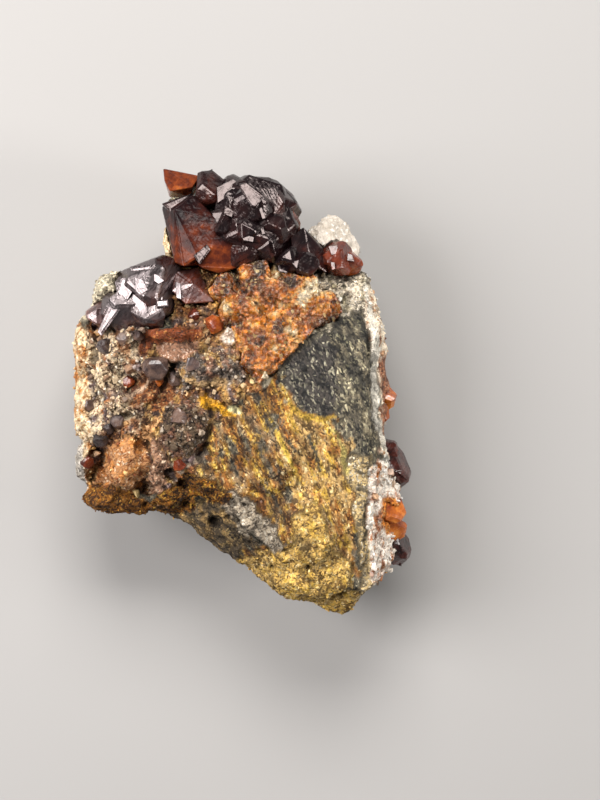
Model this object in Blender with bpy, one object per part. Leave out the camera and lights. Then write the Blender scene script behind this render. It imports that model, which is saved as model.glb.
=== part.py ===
"""A sphalerite specimen: dark crystals on a wedge of ochre-coated host rock.

The stone lies on its flat broken back. +X is its right side, +Y its top and +Z the side that shows,
with the origin under the middle of its bounding box. Lengths are in millimetres until place_in_metres
turns the finished meshes into Blender's metres.
"""

import math
import random

import bmesh
import bpy
import numpy as np
from mathutils import Euler, Matrix, Vector, noise

MM = 0.001

# Driving dimensions of the host rock
SLAB_BACK = -1.2
SLAB_FRONT = 36.0
REST_PLANE = 0.0
ROCK_CELL = 1.0
ROCK_TRIANGLES = 4040
WEATHER_LOW = 0.75
WEATHER_FINE = 0.38
SOCKET_GAP = 0.3

# The rock's outline as its front is seen, clockwise from the top left
OUTLINE = [
    (-14.8, 41.7), (-8.4, 42.3), (-0.4, 42.6), (5.2, 41.4), (9.2, 38.6), (10.8, 35.4), (12.0, 32.4),
    (14.8, 30.4), (20.4, 30.0), (22.8, 27.9), (24.4, 24.7), (26.0, 21.1), (27.4, 17.1), (28.4, 13.1),
    (28.6, 9.7), (28.4, 6.3), (29.2, 2.7), (29.4, -1.3), (28.8, -5.3), (28.4, -9.3), (29.6, -12.3),
    (30.8, -15.3), (31.8, -19.3), (32.4, -24.3), (32.4, -29.3), (31.0, -33.3), (27.6, -37.3),
    (24.0, -40.9), (21.6, -44.4), (19.6, -44.6), (15.6, -43.0), (7.8, -40.4), (4.0, -37.8),
    (-0.4, -34.4), (-5.4, -31.0), (-9.4, -27.7), (-12.4, -25.4), (-16.4, -23.9), (-20.4, -23.5),
    (-26.8, -24.5), (-30.0, -23.2), (-32.2, -20.6), (-33.6, -16.9), (-33.6, -13.3), (-32.8, -9.3),
    (-33.6, -3.3), (-33.8, 6.7), (-33.8, 13.1), (-32.4, 15.1), (-30.4, 17.1), (-30.0, 21.7),
    (-28.8, 23.5), (-22.4, 24.8), (-15.6, 25.1), (-14.6, 27.7), (-15.0, 35.7), (-15.4, 38.7),
]  # fmt: skip

# Each planar break of the rock: a point on it and the direction that it faces
BREAKS = {
    "slaty plate": ((5.0, 0.0, 33.0), (0.1, -0.05, 1.0)),
    "left slope": ((-6.0, 0.0, 32.6), (-0.16, 0.05, 1.0)),
    "left shoulder": ((-27.0, 0.0, 28.6), (-1.3, 0.0, 1.0)),
    "lower left face": ((-3.4, -21.3, 33.2), (-0.67, -0.74, 1.0)),
    "top behind the crown": ((0.0, 22.0, 30.4), (0.0, 0.8, 1.0)),
    "upper right": ((16.0, 13.0, 31.2), (0.4, 0.6, 1.0)),
    "right flank": ((26.2, 0.0, 29.5), (2.0, 0.0, 1.0)),
    "foot": ((18.0, -38.5, 30.0), (0.0, -1.5, 1.0)),
    "left back": ((-20.0, 0.0, 0.0), (-1.1, 0.1, -1.0)),
    "right back": ((19.0, 0.0, 0.0), (1.1, 0.1, -1.0)),
    "top back": ((0.0, 27.0, 0.0), (0.1, 0.85, -1.0)),
    "foot back": ((0.0, -27.0, 0.0), (0.1, -0.9, -1.0)),
    "lower left back": ((-12.0, -14.0, 0.0), (-0.65, -0.7, -1.0)),
    "upper left back": ((-16.0, 20.0, 0.0), (-0.6, 0.7, -1.0)),
    "lower right back": ((20.0, -22.0, 0.0), (0.7, -0.5, -1.0)),
}

# Lumps that stand out of the rock: centre, half widths
LUMPS = {
    "pink nodule": ((-23.0, -14.0, 27.2), (4.6, 5.8, 5.6)),
    "round grey lump": ((-11.8, -6.6, 31.6), (5.2, 6.2, 5.2)),
    "grey plate": ((-6.4, 5.2, 31.6), (7.4, 5.0, 4.8)),
    "grey plate, foot": ((-2.2, -1.0, 31.4), (4.0, 2.6, 3.6)),
    "pale block": ((-27.0, 20.2, 23.4), (3.8, 4.4, 6.4)),
    "cream edge, upper": ((-31.4, 9.4, 20.5), (2.8, 6.4, 6.0)),
    "cream edge, lower": ((-31.4, -3.4, 20.5), (2.8, 6.6, 5.5)),
    "cream edge, heel": ((-31.6, -13.6, 19.5), (2.4, 5.4, 5.5)),
    "foot roll": ((-24.6, -20.8, 21.5), (8.6, 3.8, 6.0)),
    "heel of the roll": ((-15.0, -19.6, 25.6), (4.6, 3.6, 4.6)),
    "curved rib": ((-16.8, -14.2, 28.4), (2.6, 5.8, 4.2)),
    "brown knob": ((-12.2, -14.6, 29.8), (2.6, 2.6, 3.4)),
    "rusty rib": ((-13.8, 11.8, 32.0), (6.2, 1.8, 3.4)),
    "flesh wedge": ((-12.6, 8.4, 31.4), (4.2, 3.2, 3.2)),
    "granular knob 1": ((-24.0, 9.0, 29.4), (4.4, 4.0, 4.2)),
    "granular knob 2": ((-18.6, 5.6, 30.6), (4.2, 3.2, 4.0)),
    "granular knob 3": ((-27.4, 3.0, 27.4), (3.4, 3.6, 3.8)),
    "granular knob 4": ((-24.2, -2.4, 28.4), (3.8, 3.0, 3.8)),
    "granular knob 5": ((-27.6, -8.0, 25.6), (3.2, 3.2, 3.8)),
    "granular knob 6": ((-18.0, -1.4, 30.6), (3.2, 3.0, 3.6)),
    "granular knob 7": ((-19.8, -6.4, 29.4), (2.8, 2.8, 3.2)),
    "ochre swell": ((4.0, -12.0, 31.4), (8.0, 8.0, 3.2)),
    "ochre swell, foot": ((12.5, -27.0, 31.2), (7.0, 8.0, 3.4)),
    "white knob": ((28.0, 9.8, 20.5), (1.8, 4.8, 3.4)),
    "flank roll": ((29.4, -21.0, 19.5), (3.2, 6.0, 4.6)),
    "upper right rib": ((23.2, 20.0, 21.6), (3.0, 5.6, 5.2)),
    "upper right shelf": ((17.6, 21.4, 24.6), (4.0, 3.6, 3.6)),
    "foot ledge": ((15.5, -36.5, 27.6), (6.0, 5.0, 3.6)),
    "strip left of the crown": ((-14.4, 31.2, 23.6), (1.7, 6.0, 5.0)),
    "crust under the shoulder": ((-20.6, 12.6, 30.6), (3.4, 1.9, 2.8)),
}

# Hollows weathered into the rock: place on the front, radius, depth
HOLLOWS = [
    (-19.4, -19.4, 1.8, 2.4), (-11.7, -18.7, 1.5, 1.6), (-14.3, -16.7, 1.4, 1.6), (-8.2, -22.4, 1.4, 1.2),
    (-5.2, -25.6, 1.6, 1.5), (-7.6, -11.6, 1.6, 1.8), (-19.6, -10.4, 1.6, 1.4), (-28.6, -12.0, 1.6, 1.4),
    (-14.8, -1.4, 1.6, 1.4), (-21.8, 2.2, 1.6, 1.4), (9.0, -31.0, 1.3, 1.0), (19.2, -40.8, 1.2, 1.1),
    (0.8, -35.2, 1.3, 1.0), (-1.2, -21.8, 1.3, 0.8),
]  # fmt: skip

# The slaty plate is smoother than the rest of the rock: its middle and half widths
SMOOTH_MIDDLE = (18.5, -8.0)
SMOOTH_REACH = (8.5, 24.0)

# Distances of a sphalerite crystal's faces from its centre, for a crystal of size 1
TETRAHEDRON = 0.7
COUNTER_TETRAHEDRON = 0.96
CUBE = 0.94
DODECAHEDRON = 0.93
UNEVEN = 0.1

# Crystals of regular habit: centre, size, turn about X, Y and Z in degrees
CROWN = [
    ((2.0, 34.2, 25.6), 9.0, (20, -15, 25)),
    ((3.2, 35.2, 24.4), 8.2, (70, 25, -20)),
    ((-0.6, 33.6, 27.0), 6.2, (-35, 40, 70)),
    ((6.8, 34.2, 26.0), 5.2, (15, 60, 10)),
    ((-6.4, 40.0, 25.4), 4.3, (40, 10, 50)),
    ((0.8, 29.0, 28.8), 4.9, (10, -30, 65)),
    ((5.8, 29.4, 29.4), 4.2, (60, 20, 15)),
    ((9.4, 26.4, 31.0), 2.9, (25, 35, 0)),
    ((12.6, 25.6, 30.8), 2.7, (-20, 50, 30)),
    ((-0.8, 39.4, 25.4), 4.6, (-10, 35, 20)),
    ((-2.4, 33.4, 30.6), 3.3, (50, 0, 30)),
    ((2.2, 37.0, 31.2), 4.4, (-30, 20, 5)),
    ((5.6, 37.0, 28.8), 3.9, (25, -35, 40)),
    ((6.2, 32.4, 30.6), 3.6, (5, 50, -20)),
    ((1.4, 32.0, 32.0), 3.3, (40, 30, 60)),
]
SHOULDER = [
    ((-17.8, 21.4, 28.6), 6.6, (35, 20, -15)),
    ((-22.6, 16.4, 28.6), 5.3, (-25, 15, 40)),
    ((-18.0, 16.4, 31.0), 4.0, (15, -40, 20)),
    ((-28.2, 15.6, 26.4), 3.1, (50, 10, 0)),
    ((-22.2, 21.0, 28.0), 3.4, (5, 30, 55)),
]
AMBER = [
    ((0.2, 16.6, 31.0), 4.6, (15, 30, 0)),
    ((5.6, 19.6, 31.2), 4.8, (-20, 10, 45)),
    ((11.4, 20.0, 29.8), 4.6, (30, -25, 15)),
    ((16.0, 17.4, 28.6), 3.6, (5, 40, 60)),
    ((3.2, 11.6, 32.0), 4.6, (-35, 20, 20)),
    ((9.0, 14.6, 31.4), 4.2, (45, 5, -25)),
    ((3.8, 6.6, 32.2), 3.8, (10, -15, 35)),
    ((-3.2, 20.6, 30.4), 3.7, (25, 25, 10)),
    ((8.8, 23.4, 28.8), 3.4, (-10, 45, 30)),
    ((2.4, 23.6, 29.8), 3.6, (20, -10, 55)),
    ((13.6, 15.6, 30.0), 3.0, (50, 15, 10)),
]
SIDE = [
    ((18.9, 26.9, 26.4), 3.6, (48, 30, 8)),
    ((21.6, 26.2, 24.8), 2.6, (20, 40, 30)),
]
QUARTZ = [
    ((17.6, 30.6, 21.0), 5.2, (30, 20, 15)),
    ((14.4, 29.8, 21.0), 3.8, (10, 50, 0)),
    ((20.2, 28.8, 21.0), 3.8, (60, 10, 35)),
]
FLANK_UPPER = [
    ((29.4, -14.8, 16.8), 4.8, (25, 35, 10)),
    ((28.4, -11.4, 19.4), 3.0, (0, 30, 50)),
]
FLANK_LOWER = [
    ((29.4, -23.4, 20.8), 3.3, (35, 5, 20)),
    ((30.2, -27.0, 19.0), 2.9, (10, 50, 40)),
    ((30.8, -31.0, 16.0), 3.7, (20, 30, 0)),
]
EDGE = [
    ((28.0, -0.6, 21.6), 2.8, (15, 25, 30)),
    ((27.6, -3.8, 20.6), 2.2, (40, 10, 5)),
]

# Broken or wedge-shaped crystals, given by their corners
SPLINTER = [
    (-15.7, 44.9, 25.0), (-8.4, 43.4, 26.0), (-9.8, 41.0, 28.4), (-14.2, 40.2, 28.0),
    (-15.4, 42.4, 26.6), (-8.6, 42.6, 21.5), (-10.0, 39.5, 20.0), (-14.6, 39.5, 20.5), (-14.6, 43.6, 22.0),
]  # fmt: skip
PYRAMID = [
    (-15.9, 37.2, 26.0), (-13.1, 36.3, 31.8), (-9.7, 39.3, 29.4), (-4.6, 34.2, 31.0), (-1.8, 30.8, 31.2),
    (-8.0, 27.0, 33.0), (-11.4, 25.2, 31.6), (-13.1, 25.9, 30.4), (-13.8, 36.6, 18.0), (-9.7, 40.4, 18.0),
    (-2.4, 33.0, 17.0), (-12.6, 26.0, 17.0), (-3.0, 26.4, 18.0),
]  # fmt: skip
LOWER_FACET = [
    (-8.2, 30.2, 31.6), (-1.7, 31.2, 32.4), (-1.0, 24.9, 31.2), (-4.2, 23.8, 30.8), (-8.4, 25.2, 32.2),
    (-8.0, 29.0, 20.0), (-1.4, 29.0, 20.0), (-1.4, 24.6, 20.0), (-8.0, 25.0, 20.0),
]  # fmt: skip
SLANTING_PRISM = [
    (9.8, 31.0, 29.6), (12.3, 33.0, 27.6), (16.2, 28.8, 27.6), (16.9, 24.0, 28.4), (13.6, 26.0, 31.0),
    (10.2, 27.6, 31.6), (10.0, 31.0, 18.0), (12.3, 32.6, 18.0), (16.4, 28.2, 18.0), (16.4, 24.2, 18.0),
    (10.4, 26.0, 18.0),
]  # fmt: skip
SHOULDER_WEDGE = [
    (-13.2, 24.2, 29.4), (-8.6, 24.9, 28.2), (-9.6, 21.6, 31.8), (-5.4, 18.1, 31.4), (-11.0, 17.7, 32.2),
    (-13.6, 20.2, 32.0), (-13.4, 23.2, 21.0), (-8.4, 23.8, 21.0), (-5.8, 18.4, 22.0), (-12.4, 18.0, 21.0),
]  # fmt: skip


def clear_scene():
    for obj in list(bpy.data.objects):
        bpy.data.objects.remove(obj, do_unlink=True)


def mesh_of(body, name="shape"):
    """A bmesh as mesh data, with its faces pointing out."""
    bmesh.ops.recalc_face_normals(body, faces=body.faces[:])
    mesh = bpy.data.meshes.new(name)
    body.to_mesh(mesh)
    body.free()
    return mesh


def evaluated(mesh, kind, **settings):
    """The mesh as one modifier leaves it."""
    obj = bpy.data.objects.new("blank", mesh)
    bpy.context.scene.collection.objects.link(obj)
    modifier = obj.modifiers.new(kind, kind)
    for key, value in settings.items():
        setattr(modifier, key, value)
    graph = bpy.context.evaluated_depsgraph_get()
    made = bpy.data.meshes.new_from_object(obj.evaluated_get(graph))
    bpy.data.objects.remove(obj, do_unlink=True)
    return made


def boolean(first, second, operation):
    """The EXACT Boolean of two meshes."""
    other = bpy.data.objects.new("other", second)
    bpy.context.scene.collection.objects.link(other)
    made = evaluated(first, "BOOLEAN", operation=operation, object=other)
    bpy.data.objects.remove(other, do_unlink=True)
    return made


def cut_away(body, point, normal):
    """Removes what lies past a plane, and closes the cut with one flat face."""
    everything = body.verts[:] + body.edges[:] + body.faces[:]
    bmesh.ops.bisect_plane(
        body, geom=everything, dist=1e-5, plane_co=point, plane_no=normal, clear_outer=True
    )
    rim = [edge for edge in body.edges if edge.is_boundary]
    if rim:
        bmesh.ops.holes_fill(body, edges=rim, sides=0)


def convex(planes, grow=0.0):
    """A closed convex mesh inside planes given as (normal, distance), each moved out by grow."""
    body = bmesh.new()
    bmesh.ops.create_cube(body, size=300.0)
    for normal, distance in planes:
        cut_away(body, normal * (distance + grow), normal)
    return mesh_of(body)


def habit_planes(centre, size, turn, seed):
    """The planes of a sphalerite crystal: two tetrahedra, a cube and a dodecahedron, unevenly grown."""
    chance = random.Random(seed)
    rotation = Euler([math.radians(angle) for angle in turn]).to_matrix()
    signs = (-1, 1)
    families = [
        (TETRAHEDRON, [(x, y, z) for x in signs for y in signs for z in signs if x * y * z > 0]),
        (COUNTER_TETRAHEDRON, [(x, y, z) for x in signs for y in signs for z in signs if x * y * z < 0]),
        (CUBE, [(s, 0, 0) for s in signs] + [(0, s, 0) for s in signs] + [(0, 0, s) for s in signs]),
        (
            DODECAHEDRON,
            [(a, b, 0) for a in signs for b in signs]
            + [(a, 0, b) for a in signs for b in signs]
            + [(0, a, b) for a in signs for b in signs],
        ),
    ]
    planes = []
    for distance, directions in families:
        for direction in directions:
            normal = rotation @ Vector(direction).normalized()
            reach = size * distance * (1 + chance.uniform(-UNEVEN, UNEVEN))
            planes.append((normal, normal.dot(Vector(centre)) + reach))
    return planes


def corner_planes(corners):
    """The planes of the convex crystal with these corners."""
    body = bmesh.new()
    for corner in corners:
        body.verts.new(corner)
    bmesh.ops.convex_hull(body, input=body.verts[:])
    bmesh.ops.recalc_face_normals(body, faces=body.faces[:])
    body.normal_update()
    planes = [(face.normal.copy(), face.normal.dot(face.verts[0].co)) for face in body.faces]
    body.free()
    return planes


def chunk_planes(centre, half_widths, seed):
    """The planes of a rough, rounded chunk of rock: facets facing evenly spread directions."""
    chance = random.Random(seed)
    count = 22
    planes = []
    for i in range(count):
        height = 1 - 2 * (i + 0.5) / count
        around = math.pi * (1 + math.sqrt(5)) * i
        ring = math.sqrt(1 - height * height)
        direction = Vector((ring * math.cos(around), ring * math.sin(around), height))
        touch = Vector([d * w for d, w in zip(direction, half_widths)]) * chance.uniform(0.8, 1.0)
        normal = Vector([d / w for d, w in zip(direction, half_widths)]).normalized()
        planes.append((normal, normal.dot(Vector(centre) + touch)))
    return planes


def fused(shapes):
    """Convex shapes grown together into one mesh."""
    whole = shapes[0]
    for shape in shapes[1:]:
        whole = boolean(whole, shape, "UNION")
    return whole


def largest_body(mesh):
    """The mesh without crumbs that a cut has parted from it."""
    body = bmesh.new()
    body.from_mesh(mesh)
    left = set(body.verts)
    groups = []
    while left:
        group = {left.pop()}
        edge_of_group = list(group)
        while edge_of_group:
            vert = edge_of_group.pop()
            for edge in vert.link_edges:
                near = edge.other_vert(vert)
                if near not in group:
                    group.add(near)
                    edge_of_group.append(near)
        left -= group
        groups.append(group)
    largest = max(groups, key=len)
    bmesh.ops.delete(body, geom=[v for v in body.verts if v not in largest], context="VERTS")
    return mesh_of(body)


def blocked_out_rock():
    """The slab inside the outline, broken along its planes, with its lumps still separate shells."""
    body = bmesh.new()
    floor = body.faces.new([body.verts.new((x, y, SLAB_BACK)) for x, y in OUTLINE])
    raised = bmesh.ops.extrude_face_region(body, geom=[floor])["geom"]
    top = [item for item in raised if isinstance(item, bmesh.types.BMVert)]
    bmesh.ops.translate(body, verts=top, vec=(0.0, 0.0, SLAB_FRONT - SLAB_BACK))
    bmesh.ops.recalc_face_normals(body, faces=body.faces[:])
    for point, normal in BREAKS.values():
        cut_away(body, Vector(point), Vector(normal).normalized())
    for seed, (centre, half_widths) in enumerate(LUMPS.values()):
        body.from_mesh(convex(chunk_planes(centre, half_widths, seed)))
    return mesh_of(body)


def roughness_at(x, y):
    """1 on broken rock, falling to a quarter on the slaty plate."""
    across = (x - SMOOTH_MIDDLE[0]) / SMOOTH_REACH[0]
    along = (y - SMOOTH_MIDDLE[1]) / SMOOTH_REACH[1]
    return min(1.0, max(0.25, across * across + along * along))


def weathered(mesh):
    """Moves each point of the rock along its normal: broad swells, small facets and hollows."""
    moved = np.empty((len(mesh.vertices), 3))
    for i, vert in enumerate(mesh.vertices):
        place = vert.co
        rough = roughness_at(place.x, place.y) if place.z > 24.0 else 1.0
        swell = noise.fractal(place / 9.0, 1.0, 2.0, 3)
        facets = noise.voronoi(place / 3.4)[0]
        depth = WEATHER_LOW * rough * swell + WEATHER_FINE * rough * (2.4 * (facets[1] - facets[0]) - 1.0)
        for x, y, radius, sunk in HOLLOWS:
            away = math.hypot(place.x - x, place.y - y) / radius
            if away < 1.0 and place.z > 18.0:
                depth -= sunk * (1 - away * away)
        moved[i] = place + vert.normal * depth
    mesh.vertices.foreach_set("co", moved.astype(np.float32).ravel())
    mesh.update()
    return mesh


def host_rock(sockets):
    """The finished rock: remeshed into one skin, weathered, cut flat at the back, with a socket for each cluster."""
    mesh = evaluated(blocked_out_rock(), "REMESH", mode="VOXEL", voxel_size=ROCK_CELL)
    mesh = weathered(mesh)
    share = ROCK_TRIANGLES / (2 * len(mesh.polygons))
    mesh = evaluated(mesh, "DECIMATE", decimate_type="COLLAPSE", ratio=share)
    body = bmesh.new()
    body.from_mesh(mesh)
    cut_away(body, Vector((0.0, 0.0, REST_PLANE)), Vector((0.0, 0.0, -1.0)))
    bmesh.ops.triangulate(body, faces=[face for face in body.faces if len(face.verts) > 3])
    mesh = mesh_of(body)
    for socket in sockets:
        mesh = boolean(mesh, socket, "DIFFERENCE")
    return largest_body(mesh)


def crystals(grown, broken=(), grow=0.0):
    """A cluster: regular crystals and ones given by corners, grown together."""
    shapes = [convex(habit_planes(*crystal, seed), grow) for seed, crystal in enumerate(grown)]
    shapes += [convex(corner_planes(corners), grow) for corners in broken]
    return fused(shapes)


def finish(name, colour, roughness, metallic=0.0):
    material = bpy.data.materials.new(name)
    material.use_nodes = True
    shader = material.node_tree.nodes["Principled BSDF"]
    shader.inputs["Base Color"].default_value = (*colour, 1.0)
    shader.inputs["Roughness"].default_value = roughness
    shader.inputs["Metallic"].default_value = metallic
    return material


def place_in_metres(meshes, finishes):
    """Makes one object of each mesh, in metres, with the origin under the middle of the whole."""
    corners = np.array([vert.co[:] for mesh in meshes.values() for vert in mesh.vertices])
    low, high = corners.min(axis=0), corners.max(axis=0)
    middle = Vector(((low[0] + high[0]) / 2, (low[1] + high[1]) / 2, low[2]))
    stone = bpy.data.objects.new("stone", None)
    bpy.context.scene.collection.objects.link(stone)
    for name, mesh in meshes.items():
        mesh.transform(Matrix.Scale(MM, 4) @ Matrix.Translation(-middle))
        mesh.name = name
        mesh.materials.clear()
        mesh.materials.append(finishes[name])
        obj = bpy.data.objects.new(name, mesh)
        obj.parent = stone
        bpy.context.scene.collection.objects.link(obj)


CLUSTERS = {
    "crown_crystals": (CROWN, (SPLINTER, PYRAMID, LOWER_FACET, SLANTING_PRISM)),
    "shoulder_crystals": (SHOULDER, (SHOULDER_WEDGE,)),
    "side_crystal": (SIDE, ()),
    "flank_crystals_upper": (FLANK_UPPER, ()),
    "flank_crystals_lower": (FLANK_LOWER, ()),
    "edge_crystal": (EDGE, ()),
    "quartz_knob": (QUARTZ, ()),
    "amber_mass": (AMBER, ()),
}

FINISHES = {
    "matrix": finish("host rock", (0.32, 0.25, 0.14), 0.8),
    "crown_crystals": finish("dark sphalerite", (0.035, 0.012, 0.012), 0.12),
    "shoulder_crystals": finish("dark sphalerite, shoulder", (0.045, 0.025, 0.025), 0.14),
    "side_crystal": finish("red sphalerite", (0.12, 0.02, 0.012), 0.12),
    "flank_crystals_upper": finish("smoky sphalerite", (0.06, 0.035, 0.03), 0.15),
    "flank_crystals_lower": finish("honey sphalerite", (0.4, 0.12, 0.02), 0.2),
    "edge_crystal": finish("pink sphalerite", (0.45, 0.2, 0.12), 0.2),
    "quartz_knob": finish("white quartz", (0.7, 0.66, 0.6), 0.45),
    "amber_mass": finish("amber sphalerite", (0.5, 0.15, 0.03), 0.3),
}


def main():
    clear_scene()
    meshes = {}
    sockets = []
    for name, (grown, broken) in CLUSTERS.items():
        mesh = crystals(grown, broken)
        for socket in sockets:
            mesh = boolean(mesh, socket, "DIFFERENCE")
        meshes[name] = largest_body(mesh)
        sockets.append(crystals(grown, broken, SOCKET_GAP))
    meshes["matrix"] = host_rock(sockets)
    place_in_metres(meshes, FINISHES)


main()
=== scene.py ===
"""The sphalerite specimen dressed: dark crystals, amber blende and ochre-coated rock over its solids."""

import math
import random

import bmesh
import bpy
import numpy as np
from mathutils import Euler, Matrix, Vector
from mathutils.bvhtree import BVHTree


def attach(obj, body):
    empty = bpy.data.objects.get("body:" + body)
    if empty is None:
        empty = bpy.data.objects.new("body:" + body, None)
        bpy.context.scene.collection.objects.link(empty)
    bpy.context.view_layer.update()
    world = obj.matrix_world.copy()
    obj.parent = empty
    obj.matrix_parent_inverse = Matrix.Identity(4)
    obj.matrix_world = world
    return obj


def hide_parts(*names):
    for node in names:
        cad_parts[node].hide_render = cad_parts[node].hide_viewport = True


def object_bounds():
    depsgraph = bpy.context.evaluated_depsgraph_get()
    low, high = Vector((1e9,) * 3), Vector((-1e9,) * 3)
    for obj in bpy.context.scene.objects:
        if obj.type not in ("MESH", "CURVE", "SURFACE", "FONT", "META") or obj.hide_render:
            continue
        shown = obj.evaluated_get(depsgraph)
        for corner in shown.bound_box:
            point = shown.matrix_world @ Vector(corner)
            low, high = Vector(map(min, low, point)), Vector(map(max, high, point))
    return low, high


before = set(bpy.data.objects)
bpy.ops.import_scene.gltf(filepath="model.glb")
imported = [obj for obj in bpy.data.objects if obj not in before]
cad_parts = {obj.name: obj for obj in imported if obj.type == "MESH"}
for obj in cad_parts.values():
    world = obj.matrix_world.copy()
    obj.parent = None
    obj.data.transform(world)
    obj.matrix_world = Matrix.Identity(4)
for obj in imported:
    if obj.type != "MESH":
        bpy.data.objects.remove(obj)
cad_low, cad_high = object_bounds()


# Host rock, shape. A wedge of slate with crusts and veins, hammered off the wall of a vein and never shaped
# since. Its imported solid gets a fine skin, and each mineral coat then roughens its own part of that skin.
MM = 0.001
DRAWING_ORIGIN = np.array((0.04, -0.138, 0.0))
SKIN_CELL = 0.42
LUMP_SIZE = 2.2
GRIT_SIZE = 0.95
LAYER_HEIGHT = 0.35
LAYER_BENDS = 9.0
LAYER_SWING = 1.4
LAYER_SLOPE = 0.03
LAYER_FLAT = 0.75
RIPPLE_SIZE = (1.9, 0.9)
RIPPLE = 0.16
FRONT_BEGINS = 13.0
BACK_RAGGED = 3.5
BACK_RAGGED_SIZE = 7.0
BACK_EDGE = 1.5
BACK_STAIN_SIZE = 8.0
CARVED_ABOVE = 17.0
GROOVE_WIDTH = 0.22
GROOVE_DEPTH = 0.35
CLEAVAGE_TILT = 1.5
WARP_SIZE = 5.0
WARP = 0.9
FINE_WARP_SIZE = 1.1
FINE_WARP = 0.4
TORN_EDGE = (5.0, 1.8)
COAT_SOFTNESS = 0.2
SEAM_SOFTNESS = 0.15
SEAM_RAGGED = 0.5
SEAM_FLECKS = 0.6
STAIN_SOFTNESS = 0.24
BACK_SOFTNESS = 0.08
BACK_TRAITS = (0.4, (0.28, 0.28, 0.2))
FACET_SIZE = 1.45
FACET_WARP_SIZE = 1.3
FACET_WARP = 0.35
CREASE_SHADE = 0.45
RIDGE_LIGHT = 0.18
CRACK_SHADE = 0.25
SHADE_RANGE = (0.25, 1.3)
FOOT_OF_THE_SKIN = (0.15, 1.5)
GRAIN_OF_THE_SLATE = math.radians(-66)

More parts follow.
